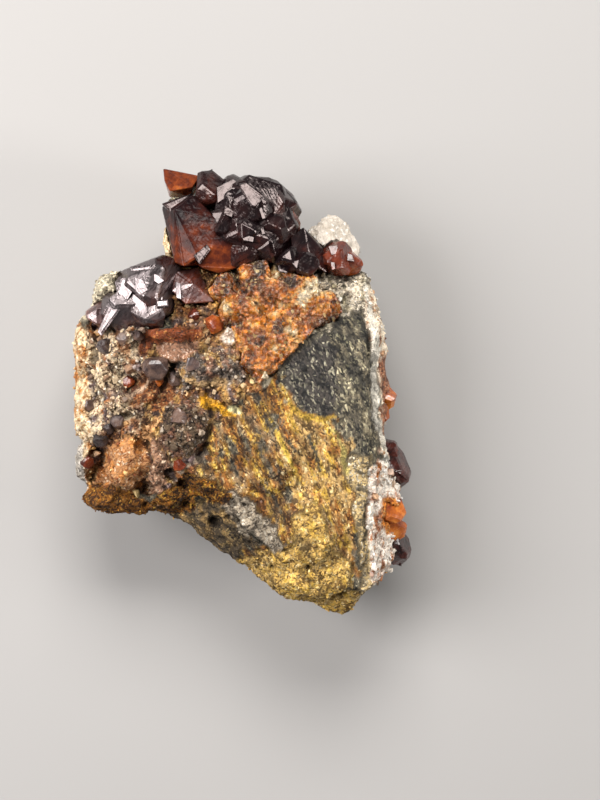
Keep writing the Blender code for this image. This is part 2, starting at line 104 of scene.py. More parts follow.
# Each coat: where it lies on the face that shows, its ground, fleck and glint colours, its share of flecks,
# how far its lumps, its grit and its layers stand out, and how ragged its edge is, in millimetres
COATS = {
    "slate": {
        "outline": [(-60, -60), (60, -60), (60, 60), (-60, 60)],
        "colours": [(0.135, 0.116, 0.083), (0.040, 0.037, 0.031), (0.58, 0.52, 0.33)],
        "flecks": 0.42, "relief": (0.10, 0.16, 0.9), "ragged": 0.5,
    },
    "upper right rock": {
        "outline": [(13.6, 12.7), (15, 18.7), (14, 24), (10, 30), (14, 33), (22, 33), (30, 26), (30, 15.7),
            (28.4, 9.7), (26, 11.7), (23.6, 16.3), (19.6, 15.1), (16, 12.7)],
        "colours": [(0.829, 0.726, 0.561), (0.291, 0.253, 0.198), (0.94, 0.90, 0.80)],
        "flecks": 0.40, "relief": (0.40, 0.30, 0.0), "ragged": 1.2,
    },
    "ochre": {
        "outline": [(-7.4, -1.7), (-3.4, -3.3), (0.2, -0.3), (4.2, 3.4), (8.0, 2.8), (9.6, -0.1),
            (11.6, -3.5), (15.2, -4.9), (18.2, -4.1), (20.0, -8.3), (20.6, -12), (21.6, -16.3),
            (22.8, -23.3), (23.4, -30.3), (23.6, -35.3), (22.6, -40), (20.6, -48), (8, -48), (0, -42),
            (-8, -32), (0.2, -30.3), (4, -29.3), (1.6, -26.9), (-3.4, -21.9), (-7.4, -19.3), (-11, -16.9),
            (-8.4, -12.3), (-6, -7.3)],
        "colours": [(0.275, 0.125, 0.022), (0.1, 0.044, 0.014), (0.68, 0.43, 0.14)],
        "flecks": 0.42, "relief": (0.22, 0.26, 0.0), "ragged": 2.0,
    },
    "yellow side of the ochre": {
        "outline": [(9, -3.4), (12, -5.5), (18, -5.3), (20.4, -9), (22, -18), (23.2, -28), (23, -34),
            (18, -34), (13, -26), (9, -16), (6, -9)],
        "colours": [(0.64, 0.41, 0.155), (0.20, 0.120, 0.048), (0.93, 0.76, 0.42)],
        "flecks": 0.38, "relief": (0.22, 0.26, 0.0), "ragged": 2.4,
    },
    "grey edge of the foot": {
        "outline": [(20.8, -13), (22.0, -20.3), (23.0, -28.3), (23.4, -36), (22.2, -42), (20, -48),
            (28, -46), (28, -30), (26, -12)],
        "colours": [(0.572, 0.42, 0.198), (0.209, 0.168, 0.104), (0.88, 0.80, 0.62)],
        "flecks": 0.44, "relief": (0.12, 0.28, 0.2), "ragged": 1.0,
    },
    "mustard": {
        "outline": [(-3, -33.9), (3, -31.3), (6.4, -29.9), (9.6, -30.5), (10.6, -25.5), (14, -22),
            (17.4, -24.3), (18.6, -31.3), (22, -33.3), (23.0, -38.3), (20.6, -48), (8, -50), (-6, -40)],
        "colours": [(0.73, 0.465, 0.128), (0.259, 0.153, 0.044), (0.92, 0.76, 0.40)],
        "flecks": 0.38, "relief": (0.18, 0.26, 0.0), "ragged": 2.0,
    },
    "grey foot face": {
        "outline": [(-17.4, -26), (-12.4, -22.3), (-8.4, -20.9), (-4, -21.7), (1.0, -27.3), (4.4, -30.1),
            (-0.4, -31.5), (-3.4, -37), (-12, -36), (-16, -29)],
        "colours": [(0.092, 0.066, 0.039), (0.035, 0.026, 0.017), (0.36, 0.25, 0.10)],
        "flecks": 0.32, "relief": (0.10, 0.22, 0.0), "ragged": 1.4,
    },
    "pale ledge": {
        "outline": [(-5.4, -19.6), (-2, -19.3), (1.6, -21.3), (5.6, -25.3), (9.2, -30.1), (8, -32.1),
            (3.4, -29.3), (-0.4, -25.5), (-3.6, -22.7)],
        "colours": [(0.36, 0.30, 0.22), (0.14, 0.11, 0.080), (0.74, 0.67, 0.54)],
        "flecks": 0.44, "relief": (0.20, 0.28, 0.0), "ragged": 1.4,
    },
    "smooth black slate": {
        "outline": [(8.4, 2.2), (9.8, 6.1), (12.2, 10.5), (16.6, 12.3), (19.4, 9.3), (19.4, -0.3),
            (18.2, -3.9), (15.2, -4.3), (12, -2.7), (9.6, -0.9)],
        "colours": [(0.063, 0.054, 0.046), (0.022, 0.021, 0.02), (0.42, 0.39, 0.28)],
        "flecks": 0.46, "relief": (0.05, 0.12, 0.5), "ragged": 1.6,
    },
    "mixed brown": {
        "outline": [(-20.4, 9.7), (-14, 13.5), (-15, 19), (-9, 21), (-8, 26), (1, 26), (1.4, 12), (3.6, 6),
            (4, 1.4), (-2.4, -2.7), (-6, -6.3), (-7.4, -12.3), (-9.4, -17), (-16.4, -20), (-31, -20),
            (-31, -5), (-20.4, -3)],
        "colours": [(0.34, 0.165, 0.060), (0.105, 0.046, 0.022), (0.74, 0.52, 0.28)],
        "flecks": 0.42, "relief": (0.45, 0.40, 0.0), "ragged": 0.8,
    },
    "gold crust": {
        "outline": [(-20.4, -24.5), (-16.4, -19.3), (-12.4, -17.3), (-10.4, -15.9), (-5.4, -16.9),
            (-1.4, -20.3), (-3.4, -21.9), (-8.4, -21.1), (-12.8, -24.9), (-17, -26)],
        "colours": [(0.197, 0.073, 0.006), (0.039, 0.015, 0.004), (0.60, 0.33, 0.04)],
        "flecks": 0.45, "relief": (0.40, 0.40, 0.0), "ragged": 1.2,
    },
    "cream grains": {
        "outline": [(-31.4, 14.6), (-25, 15.2), (-18.8, 14.0), (-19.2, 9.7), (-17, 4.7), (-13.6, 0.3),
            (-15.4, -2.3), (-19, -1.3), (-20.4, -7.3), (-18.4, -10.3), (-21, -8.7), (-26.4, -7.3),
            (-32.4, -11.3), (-32.0, -1.3)],
        "colours": [(0.84, 0.66, 0.43), (0.26, 0.155, 0.090), (0.94, 0.86, 0.70)],
        "flecks": 0.34, "relief": (0.60, 0.50, 0.0), "ragged": 0.8,
    },
    "brown vein": {
        "outline": [(-23, 1.0), (-20.4, 3.4), (-17.0, 4.4), (-13.4, 1.8), (-13.0, -1.2), (-16.0, -3.6),
            (-20.4, -2.6)],
        "colours": [(0.26, 0.090, 0.028), (0.095, 0.034, 0.016), (0.66, 0.40, 0.17)],
        "flecks": 0.42, "relief": (0.35, 0.30, 0.0), "ragged": 1.2,
    },
    "violet-grey plate": {
        "outline": [(-14, 5.1), (-10.8, 8.1), (-5.4, 9.7), (-0.8, 8.7), (0.8, 3.7), (0.8, 1.4),
            (-3.4, 1.0), (-7.4, 1.3), (-11.4, -0.9), (-13.6, 1.7)],
        "colours": [(0.195, 0.150, 0.114), (0.060, 0.046, 0.040), (0.58, 0.50, 0.42)],
        "flecks": 0.38, "relief": (0.32, 0.34, 0.0), "ragged": 1.0,
    },
    "violet-grey lump": {
        "outline": [(-16.6, -5.3), (-14.4, -2.1), (-9.4, -1.3), (-6.4, -4.9), (-7.0, -10.3),
            (-10.4, -12.9), (-14.4, -12.1), (-16.6, -9.3)],
        "colours": [(0.155, 0.103, 0.06), (0.047, 0.03, 0.022), (0.54, 0.44, 0.33)],
        "flecks": 0.34, "relief": (0.35, 0.36, 0.0), "ragged": 1.0,
    },
    "honey crust beside the amber": {
        "outline": [(-8.4, 24.8), (-3.0, 25.2), (-0.6, 21), (-1.4, 15), (-3.6, 12.6), (-5.4, 17),
            (-7.6, 20.4)],
        "colours": [(0.62, 0.345, 0.105), (0.19, 0.090, 0.034), (0.94, 0.78, 0.44)],
        "flecks": 0.42, "relief": (0.35, 0.36, 0.0), "ragged": 1.2,
    },
    "white wedge": {
        "outline": [(-4.6, 11.2), (-2.4, 13.4), (-0.6, 12.8), (-0.4, 10.8), (-2.6, 10.2)],
        "colours": [(0.90, 0.80, 0.68), (0.60, 0.42, 0.30), (0.96, 0.94, 0.90)],
        "flecks": 0.24, "relief": (0.10, 0.15, 0.0), "ragged": 0.3,
    },
    "rusty rib": {
        "outline": [(-19.4, 12.3), (-13, 13.7), (-7.8, 13.3), (-7.8, 10.9), (-12, 9.9), (-17.4, 9.9),
            (-19.4, 6.1), (-20.8, 8.7)],
        "colours": [(0.22, 0.052, 0.014), (0.070, 0.021, 0.009), (0.62, 0.27, 0.08)],
        "flecks": 0.30, "relief": (0.10, 0.06, 0.0), "ragged": 0.4,
    },
    "flesh-coloured wedge": {
        "outline": [(-17, 9.5), (-8.2, 10.5), (-9.2, 8.5), (-13.8, 5.1), (-15.8, 6.9)],
        "colours": [(0.299, 0.154, 0.09), (0.132, 0.062, 0.036), (0.74, 0.55, 0.43)],
        "flecks": 0.25, "relief": (0.05, 0.10, 0.0), "ragged": 0.3,
    },
    "curved brown rib": {
        "outline": [(-18.8, -8.9), (-16.4, -9.3), (-14.8, -12.3), (-14.8, -16.3), (-15.6, -19.7),
            (-18.6, -19.7), (-17.8, -14.3)],
        "colours": [(0.38, 0.210, 0.125), (0.16, 0.080, 0.050), (0.72, 0.54, 0.38)],
        "flecks": 0.34, "relief": (0.15, 0.25, 0.0), "ragged": 0.4,
    },
    "pink nodule": {
        "outline": [(-27.4, -11.3), (-26, -9.1), (-23.4, -8.3), (-20.0, -9.7), (-18.4, -12.9),
            (-18.8, -16.9), (-21.4, -19.3), (-25, -18.9), (-29.8, -17.9)],
        "colours": [(0.504, 0.248, 0.098), (0.261, 0.072, 0.016), (0.92, 0.76, 0.55)],
        "flecks": 0.26, "relief": (0.40, 0.10, 0.0), "ragged": 0.5,
    },
    "left edge": {
        "outline": [(-45, 14.7), (-31.2, 15.1), (-30.4, 8.7), (-30.6, -1.3), (-30.4, -9.3), (-31, -15.3),
            (-31.8, -19.3), (-45, -19)],
        "colours": [(0.84, 0.67, 0.43), (0.56, 0.32, 0.13), (0.95, 0.87, 0.72)],
        "flecks": 0.30, "relief": (0.25, 0.22, 0.0), "ragged": 0.9,
    },
    "ochre roll": {
        "outline": [(-45, -18.3), (-32, -18.6), (-27.4, -18.3), (-24.4, -19.3), (-20.4, -19.9),
            (-18.4, -22), (-20.4, -30), (-45, -30)],
        "colours": [(0.225, 0.083, 0.008), (0.068, 0.025, 0.006), (0.60, 0.30, 0.04)],
        "flecks": 0.44, "relief": (0.25, 0.30, 0.0), "ragged": 1.2,
    },
    "grey lower edge": {
        "outline": [(-45, -8.6), (-32.2, -9.2), (-31.4, -13.6), (-31.8, -19.4), (-45, -19.4)],
        "colours": [(0.52, 0.47, 0.40), (0.26, 0.23, 0.20), (0.86, 0.82, 0.74)],
        "flecks": 0.36, "relief": (0.25, 0.24, 0.0), "ragged": 0.8,
    },
    "pale block": {
        "outline": [(-38, 30), (-23, 30), (-22.6, 23.5), (-24.4, 20.9), (-26.8, 18.3), (-29.2, 16.3),
            (-30.8, 14.9), (-38, 15)],
        "colours": [(0.68, 0.60, 0.43), (0.30, 0.26, 0.18), (0.88, 0.82, 0.66)],
        "flecks": 0.34, "relief": (0.25, 0.28, 0.0), "ragged": 0.4,
    },
    "strip beside the crown": {
        "outline": [(-20, 26), (-12.4, 25), (-12.4, 38), (-20, 40)],
        "colours": [(0.78, 0.62, 0.38), (0.46, 0.28, 0.11), (0.92, 0.84, 0.66)],
        "flecks": 0.28, "relief": (0.20, 0.24, 0.0), "ragged": 0.4,
    },
    "white vein": {
        "outline": [(24.2, 19.7), (27, 20.7), (31, 12.7), (40, 6.7), (40, -12.3), (32.6, -12.3),
            (31.6, -13.3), (29.2, -11.5), (27.4, -12.1), (27.2, -7.3), (27.8, -5.3), (27.4, 1.7),
            (26.2, 7.7), (25.0, 13.7)],
        "colours": [(0.92, 0.82, 0.64), (0.56, 0.32, 0.17), (0.95, 0.92, 0.84)],
        "flecks": 0.24, "relief": (0.30, 0.15, 0.0), "ragged": 0.8,
    },
    "flank": {
        "outline": [(25.0, -14.3), (28.8, -12.7), (31.6, -14.3), (45, -14), (45, -44), (28.2, -42),
            (25.6, -37.3), (25.6, -30.3), (25.0, -25.3)],
        "colours": [(0.95, 0.89, 0.79), (0.62, 0.42, 0.28), (0.97, 0.95, 0.91)],
        "flecks": 0.26, "relief": (0.45, 0.22, 0.0), "ragged": 0.8,
    },
    "brown band of the flank": {
        "outline": [(27.6, 9.0), (29.4, 7.0), (30.8, 1.0), (30.6, -6.0), (29.6, -10.0), (28.2, -9.0),
            (28.4, -2.0)],
        "colours": [(0.36, 0.150, 0.075), (0.15, 0.060, 0.034), (0.78, 0.52, 0.32)],
        "flecks": 0.34, "relief": (0.20, 0.12, 0.0), "ragged": 0.5,
    },
    "honey spot of the flank": {
        "outline": [(28.2, -21.4), (31.0, -21.0), (33.4, -23.4), (32.4, -26.6), (29.8, -28.0),
            (28.4, -26.0)],
        "colours": [(0.66, 0.230, 0.035), (0.27, 0.070, 0.014), (0.95, 0.62, 0.24)],
        "flecks": 0.36, "relief": (0.30, 0.20, 0.0), "ragged": 0.9,
    },
}

# Stains and patches inside the coats: which coats, their colours, how long and wide one is, and their share
PATCHES = [
    (["ochre"], [(0.30, 0.195, 0.095), (0.12, 0.080, 0.045), (0.68, 0.52, 0.31)], (5.0, 2.0), 0.42),
    (["ochre", "yellow side of the ochre"],
     [(0.35, 0.135, 0.028), (0.14, 0.055, 0.018), (0.74, 0.40, 0.10)], (3.6, 1.4), 0.32),
    (["ochre", "yellow side of the ochre", "mustard"],
     [(0.68, 0.43, 0.070), (0.27, 0.15, 0.035), (0.95, 0.76, 0.28)], (5.0, 0.8), 0.24),
    (["ochre"], [(0.125, 0.108, 0.075), (0.055, 0.048, 0.036), (0.42, 0.35, 0.21)], (4.6, 1.2), 0.24),
    (["mustard"], [(0.40, 0.26, 0.085), (0.17, 0.11, 0.042), (0.72, 0.54, 0.24)], (3.6, 1.6), 0.30),
    (["grey foot face"], [(0.32, 0.20, 0.075), (0.14, 0.09, 0.04), (0.60, 0.43, 0.18)], (2.0, 1.2), 0.22),
    (["slate", "upper right rock"],
     [(0.32, 0.27, 0.170), (0.120, 0.105, 0.075), (0.76, 0.68, 0.45)], (3.6, 0.55), 0.32),
    (["slate"], [(0.060, 0.056, 0.045), (0.026, 0.025, 0.022), (0.36, 0.33, 0.20)], (7.0, 1.5), 0.28),
    (["cream grains", "mixed brown"], [(0.36, 0.135, 0.040), (0.15, 0.056, 0.022), (0.68, 0.36, 0.12)],
     (3.4, 2.2), 0.24),
    (["cream grains", "mixed brown"], [(0.17, 0.115, 0.105), (0.080, 0.052, 0.050), (0.50, 0.41, 0.38)],
     (2.6, 1.8), 0.22),
    (["mixed brown", "violet-grey plate"], [(0.50, 0.29, 0.090), (0.22, 0.12, 0.045), (0.80, 0.60, 0.27)],
     (2.2, 1.5), 0.26),
    (["violet-grey lump", "violet-grey plate"],
     [(0.28, 0.130, 0.075), (0.12, 0.058, 0.038), (0.56, 0.38, 0.26)], (2.0, 1.3), 0.26),
    (["left edge", "pink nodule"], [(0.62, 0.24, 0.055), (0.34, 0.12, 0.032), (0.88, 0.56, 0.22)],
     (2.6, 1.4), 0.20),
    (["white vein", "flank"],
     [(0.40, 0.160, 0.075), (0.18, 0.068, 0.036), (0.70, 0.42, 0.24)], (2.4, 1.3), 0.14),
    (["flank"], [(0.62, 0.19, 0.024), (0.30, 0.080, 0.016), (0.85, 0.46, 0.10)], (2.6, 1.6), 0.10),
]

# The sides and back, which the face doesn't show: first the coat of each, then its share of the surface
BACK_COATS = [
    ([(0.150, 0.130, 0.100), (0.060, 0.053, 0.044), (0.46, 0.40, 0.28)], 1.0),
    ([(0.32, 0.205, 0.065), (0.13, 0.080, 0.032), (0.66, 0.47, 0.18)], 0.42),
    ([(0.30, 0.28, 0.22), (0.110, 0.105, 0.080), (0.72, 0.69, 0.60)], 0.24),
    ([(0.055, 0.058, 0.052), (0.026, 0.028, 0.026), (0.30, 0.30, 0.22)], 0.26),
]

# Thin lines of another mineral or stain: points along each, its half width and its colour
SEAMS = [
    ([(20.4, 17.6), (17.0, 14.4), (12.4, 11.4), (8.8, 8.6), (6.0, 4.4), (4.8, 2.0)], 0.45,
     (0.62, 0.55, 0.40)),
    ([(6.0, -5.4), (7.6, -9.4), (9.0, -12.6), (10.6, -15.4)], 0.30, (0.76, 0.52, 0.08)),
    ([(7.4, -4.4), (9.4, -8.8), (11.0, -11.8)], 0.45, (0.100, 0.090, 0.065)),
    ([(13.4, -8.4), (14.6, -11.6), (15.2, -14.6)], 0.40, (0.110, 0.100, 0.070)),
    ([(3.2, -9.8), (4.6, -12.4)], 0.50, (0.120, 0.100, 0.070)),
    ([(18.2, -7.3), (20.0, -11.5), (21.4, -15.3)], 0.30, (0.62, 0.50, 0.16)),
    ([(9.4, -2.0), (12.4, -4.6), (15.0, -5.2), (18.6, -5.0)], 0.35, (0.60, 0.38, 0.06)),
    ([(-7.4, -1.2), (-5.0, -2.4), (-2.2, -4.2)], 0.9, (0.86, 0.43, 0.025)),
    ([(-2.2, -2.7), (-1.2, -4.0)], 0.55, (0.97, 0.88, 0.48)),
    ([(24.4, 22.0), (25.8, 16.4), (26.6, 9.0), (27.0, 1.0), (27.4, -7.0), (28.8, -12.2)], 0.5,
     (0.84, 0.79, 0.68)),
    ([(28.6, -12.6), (31.0, -14.8), (31.8, -17.6)], 0.5, (0.86, 0.82, 0.72)),
    ([(-3.2, 22.8), (-5.2, 18.8), (-2.8, 15.8)], 0.8, (0.56, 0.30, 0.06)),
    ([(-15.2, 25.6), (-12.4, 25.0), (-9.0, 25.4)], 0.6, (0.60, 0.30, 0.05)),
    ([(-14.0, 5.9), (-18.4, 1.7), (-22.2, -1.3)], 0.4, (0.62, 0.42, 0.28)),
    ([(-16.8, -5.2), (-18.6, -7.6), (-19.0, -9.4)], 0.9, (0.74, 0.40, 0.17)),
    ([(-14.6, -14.0), (-12.0, -15.6), (-9.6, -13.4), (-6.8, -12.0)], 0.5, (0.56, 0.43, 0.31)),
    ([(-3.6, 2.2), (-8.6, 1.6), (-11.4, 3.2)], 0.6, (0.56, 0.37, 0.18)),
]

# Cracks and crevices that run through the face: points along each, its half width and depth
CRACKS = [
    ([(-6.8, 9.3), (-10.4, 7.0), (-13.6, 5.0), (-15.2, 1.6), (-16.4, -1.4)], 0.6, 0.8),
    ([(-20.0, 8.6), (-17.2, 7.4), (-13.8, 5.0)], 0.5, 0.8),
    ([(-16.6, -1.6), (-20.0, -4.0), (-24.4, -4.4)], 0.6, 0.9),
    ([(-17.6, -8.6), (-14.8, -12.6), (-14.4, -15.0)], 0.6, 0.6),
    ([(-6.4, -2.0), (-6.0, -7.6), (-8.4, -13.2)], 0.6, 0.8),
    ([(-18.8, -9.6), (-18.2, -14.6), (-19.4, -18.0)], 0.6, 0.5),
    ([(-29.6, -9.6), (-28.0, -13.0), (-29.8, -16.6)], 0.5, 0.4),
    ([(-29.4, 13.4), (-29.8, 6.0), (-30.0, -3.0)], 0.5, 0.8),
    ([(25.2, 12.0), (26.4, 4.0), (26.8, -6.0), (25.0, -15.0), (25.0, -26.0), (24.6, -36.0)], 0.45, 0.6),
    ([(-3.0, -22.6), (1.0, -26.6), (5.0, -31.0)], 0.4, 0.5),
]

# Small deep pits of the ochre and the foot: place, radius and depth
PITS = [
    (-11.7, -18.5, 0.7, 0.9), (-11.2, -22.5, 0.8, 1.2), (-5.4, -25.9, 1.0, 1.3), (-8.0, -24.0, 0.7, 0.9),
    (0.9, -22.2, 0.5, 0.8), (8.7, -31.0, 0.55, 1.0), (1.2, -29.6, 0.5, 0.8), (13.3, -34.3, 0.6, 1.0),
    (0.9, -35.4, 0.8, 0.8), (19.0, -40.9, 0.5, 0.9), (20.6, -39.5, 0.7, 0.9), (-19.6, -19.2, 0.6, 0.5),
    (-19.4, -22.4, 0.8, 1.0), (-2.6, -24.6, 0.5, 0.8), (7.0, -15.6, 0.5, 0.6),
    (3.2, -11.4, 0.5, 0.6), (16.0, -14.0, 0.5, 0.6), (11.6, -27.4, 0.5, 0.6), (5.4, -34.6, 0.5, 0.7),
]


def lattice_values(cells, seed):
    """A fixed chance value from 0 to 1 for each whole-number cell."""
    mixed = (cells[..., 0] * 73856093) ^ (cells[..., 1] * 19349663) ^ (cells[..., 2] * 83492791)
    mixed = ((mixed ^ (seed * 2654435761)) ^ (mixed >> 13)) * 1274126177
    return ((mixed ^ (mixed >> 16)) & 0xFFFFFF) / 0xFFFFFF


def swell(places, size, seed):
    """Smooth noise from -1 to 1 that changes over size."""
    at = places / size
    cell = np.floor(at).astype(np.int64)
    part = at - cell
    part = part * part * (3 - 2 * part)
    total = np.zeros(len(places))
    for corner in np.ndindex(2, 2, 2):
        weight = np.prod(np.where(corner, part, 1 - part), axis=1)
        total += weight * lattice_values(cell + corner, seed)
    return total * 2 - 1


def roughened(places, size, seed, octaves=3):
    """Noise from about -1 to 1 with finer noise on it."""
    return sum(swell(places, size / 2**i, seed + i) / 1.8**i for i in range(octaves)) / 1.5


def drawn_out(places, length, width):
    """The places in units of a length down the grain of the slate and a width across it."""
    down = np.array((math.cos(GRAIN_OF_THE_SLATE), math.sin(GRAIN_OF_THE_SLATE)))
    along = places[:, 0] * down[0] + places[:, 1] * down[1]
    across = places[:, 1] * down[0] - places[:, 0] * down[1]
    return np.stack([along / length, across / width, places[:, 2] / width], axis=1)


def nearest_cells(places, size, seed):
    """In packed cells: how far the two nearest middles are, the way to the nearest, and which cell it is."""
    at = places / size
    cell = np.floor(at).astype(np.int64)
    nearest = np.full(len(places), 9.0)
    second = np.full(len(places), 9.0)
    offset = np.zeros_like(at)
    owner = np.zeros_like(cell)
    for step in np.ndindex(3, 3, 3):
        near = cell + step - 1
        middle = near + np.stack([lattice_values(near, seed + axis) for axis in (1, 2, 3)], axis=1)
        away = np.linalg.norm(at - middle, axis=1)
        closer = away < nearest
        second = np.where(closer, nearest, np.minimum(second, away))
        nearest = np.where(closer, away, nearest)
        offset[closer] = (at - middle)[closer]
        owner[closer] = near[closer]
    return nearest, second, offset, owner


def rounded_grains(places, size, seed):
    """The height of packed round grains, from 0 in their grooves to 1 at their tops."""
    nearest, second, _, _ = nearest_cells(places, size, seed)
    return np.clip(second - nearest, 0, 1)


def broken_grains(places, size, seed):
    """The height of packed grains that broke along tilted cleavages, and a chance value for each grain."""
    nearest, second, offset, owner = nearest_cells(places, size, seed)
    tilt = np.stack([lattice_values(owner, seed + axis) - 0.5 for axis in (5, 6, 7)], axis=1)
    groove = np.clip((second - nearest) / GROOVE_WIDTH, 0, 1) - 1
    height = CLEAVAGE_TILT * (offset * tilt).sum(axis=1) + GROOVE_DEPTH * groove
    return height, lattice_values(owner, seed + 8)


def distance_to_line(flat, points):
    """The distance in millimetres from each place on the face to a line through points."""
    line = np.array(points, float)
    best = np.full(len(flat), 1e9)
    for start, end in zip(line[:-1], line[1:]):
        along = end - start
        share = np.clip(((flat - start) @ along) / (along @ along), 0, 1)
        best = np.minimum(best, np.linalg.norm(flat - start - share[:, None] * along, axis=1))
    return best


def depth_inside(flat, outline):
    """How far each place on the face lies inside an outline, in millimetres, and negative outside it."""
    corners = np.array(outline, float)
    inside = np.zeros(len(flat), bool)
    for (x0, y0), (x1, y1) in zip(corners, np.roll(corners, -1, axis=0)):
        spans = (y0 > flat[:, 1]) != (y1 > flat[:, 1])
        with np.errstate(divide="ignore", invalid="ignore"):
            crossing = x0 + (flat[:, 1] - y0) * (x1 - x0) / (y1 - y0)
        inside ^= spans & (flat[:, 0] < crossing)
    away = distance_to_line(flat, np.vstack([corners, corners[:1]]))
    return np.where(inside, away, -away)


def ease(values, low, high):
    """0 below low, 1 above high, and a smooth rise between."""
    share = np.clip((values - low) / (high - low), 0, 1)
    return share * share * (3 - 2 * share)


def even_skin(name, cell, wedges=()):
    """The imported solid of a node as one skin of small, even faces, with wedges between its lumps."""
    body = bmesh.new()
    body.from_mesh(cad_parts[name].data)
    bmesh.ops.remove_doubles(body, verts=body.verts[:], dist=1e-6)
    for corners in wedges:
        added = [body.verts.new((np.array(corner) + DRAWING_ORIGIN) * MM) for corner in corners]
        bmesh.ops.convex_hull(body, input=added)
    solid = bpy.data.meshes.new(name + "_solid")
    body.to_mesh(solid)
    body.free()
    blank = bpy.data.objects.new("blank", solid)
    bpy.context.scene.collection.objects.link(blank)
    remesh = blank.modifiers.new("skin", "REMESH")
    remesh.mode = "VOXEL"
    remesh.voxel_size = cell
    graph = bpy.context.evaluated_depsgraph_get()
    skin = bpy.data.meshes.new_from_object(blank.evaluated_get(graph))
    skin.materials.clear()
    bpy.data.objects.remove(blank, do_unlink=True)
    return skin


def read_points(mesh):
    """A mesh's points, in the drawing's millimetres, and their normals."""
    places = np.empty(len(mesh.vertices) * 3, np.float32)
    mesh.vertices.foreach_get("co", places)
    normals = np.empty(len(mesh.vertices) * 3, np.float32)
    mesh.vertices.foreach_get("normal", normals)
    return places.reshape(-1, 3).astype(float) / MM - DRAWING_ORIGIN, normals.reshape(-1, 3).astype(float)


def write_points(mesh, places):
    """Puts the points back in metres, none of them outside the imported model's box."""
    metres = np.clip((places + DRAWING_ORIGIN) * MM, cad_low, cad_high)
    mesh.vertices.foreach_set("co", metres.astype(np.float32).ravel())
    mesh.update()


def write_colour(mesh, name, colours):
    """Keeps one colour for each point of the mesh, for its material to read."""
    layer = mesh.attributes.new(name, "FLOAT_COLOR", "POINT")
    full = np.ones((len(mesh.vertices), 4), np.float32)
    full[:, :3] = colours
    layer.data.foreach_set("color", full.ravel())


def hollowness(mesh, places, normals, rounds):
    """About 1 in creases, 0 on flats and -1 on ridges."""
    edges = np.empty(len(mesh.edges) * 2, np.int32)
    mesh.edges.foreach_get("vertices", edges)
    edges = edges.reshape(-1, 2)
    count = np.bincount(edges.ravel(), minlength=len(places))[:, None]

    def average(values):
        total = np.zeros_like(values)
        np.add.at(total, edges[:, 0], values[edges[:, 1]])
        np.add.at(total, edges[:, 1], values[edges[:, 0]])
        return total / count

    bend = ((average(places) - places) * normals).sum(axis=1, keepdims=True)
    for _ in range(rounds):
        bend = (bend + average(bend)) / 2
    return bend[:, 0] / (3 * bend.std())


rock_mesh = even_skin("matrix", SKIN_CELL * MM)
places, normals = read_points(rock_mesh)
flat = places[:, :2] + WARP * np.stack([roughened(places, WARP_SIZE, seed) for seed in (11, 12)], axis=1)
flat += FINE_WARP * np.stack([swell(places, FINE_WARP_SIZE, seed) for seed in (13, 14)], axis=1)
torn = roughened(drawn_out(places, *TORN_EDGE), 1.0, 17, 4)

tones = np.zeros((3, len(places), 3))
traits = np.zeros((len(places), 4))
front = places[:, 2] > FRONT_BEGINS
covered = {}


def lay(colours, share, flecks=None, relief=None):
    """Covers each point by its share with a coat's colours, and with its flecks and relief if given."""
    for i, colour in enumerate(colours):
        tones[i] += share[:, None] * (np.array(colour) - tones[i])
    if relief:
        traits[:] += share[:, None] * (np.array([flecks, *relief]) - traits)


for name, coat in COATS.items():
    inside = depth_inside(flat, coat["outline"]) + coat["ragged"] * torn
    share = ease(inside, -COAT_SOFTNESS, COAT_SOFTNESS)
    for other in covered:
        covered[other] = covered[other] * (1 - share)
    covered[name] = share
    lay(coat["colours"], share, coat["flecks"], coat["relief"])
for number, (names, colours, (length, width), share) in enumerate(PATCHES):
    where = sum(covered[name] for name in names)
    stain = roughened(drawn_out(places, length, width), 1.0, 200 + 9 * number, 4)
    edge_at = np.quantile(stain, 1 - share)
    lay(colours, where * ease(stain, edge_at - STAIN_SOFTNESS, edge_at + STAIN_SOFTNESS))
for points, half_width, colour in SEAMS:
    inside = half_width - distance_to_line(flat, points) + SEAM_RAGGED * torn
    share = ease(inside, -SEAM_SOFTNESS, SEAM_SOFTNESS) * front
    lay([colour, [SEAM_FLECKS * part for part in colour], colour], share)
behind = FRONT_BEGINS - places[:, 2] + BACK_RAGGED * roughened(places, BACK_RAGGED_SIZE, 21)
back_share = ease(behind, -BACK_EDGE, BACK_EDGE)
for number, (colours, share) in enumerate(BACK_COATS):
    stain = roughened(places, BACK_STAIN_SIZE, 300 + 9 * number, 5)
    edge_at = np.quantile(stain, 1 - share) if share < 1 else -9
    lay(colours, back_share * ease(stain, edge_at - BACK_SOFTNESS, edge_at + BACK_SOFTNESS), *BACK_TRAITS)

flecks, lumps, grit, layers = traits.T
depth = lumps * (rounded_grains(places, LUMP_SIZE, 31) * 1.7 - 0.7)
bent = places + FACET_WARP * swell(places, FACET_WARP_SIZE, 33)[:, None]
facets, facet_chance = broken_grains(bent, FACET_SIZE, 34)
depth += grit * (1.5 * facets + 0.9 * (rounded_grains(places, GRIT_SIZE, 35) - 0.35))
depth += RIPPLE * roughened(drawn_out(places, *RIPPLE_SIZE), 1.0, 38)
terraces = roughened(places, LAYER_BENDS, 41) * LAYER_SWING + places[:, 0] * LAYER_SLOPE
terraces = terraces / LAYER_HEIGHT
depth += layers * LAYER_HEIGHT * (np.floor(terraces) + ease(terraces % 1, LAYER_FLAT, 1.0) - terraces)
cracked = np.zeros(len(places))
hollows = [(distance_to_line(flat, points), 1.5 * half, 0.0, sunk) for points, half, sunk in CRACKS]
hollows += [
    (np.hypot(flat[:, 0] - x, flat[:, 1] - y), 1.3 * radius, 0.3 * radius, sunk)
    for x, y, radius, sunk in PITS
]
for away, rim, bottom, sunk in hollows:
    share = ease(-away, -rim, -bottom) * (places[:, 2] > CARVED_ABOVE)
    depth -= sunk * share
    cracked = np.maximum(cracked, share)
depth *= ease(places[:, 2], *FOOT_OF_THE_SKIN)
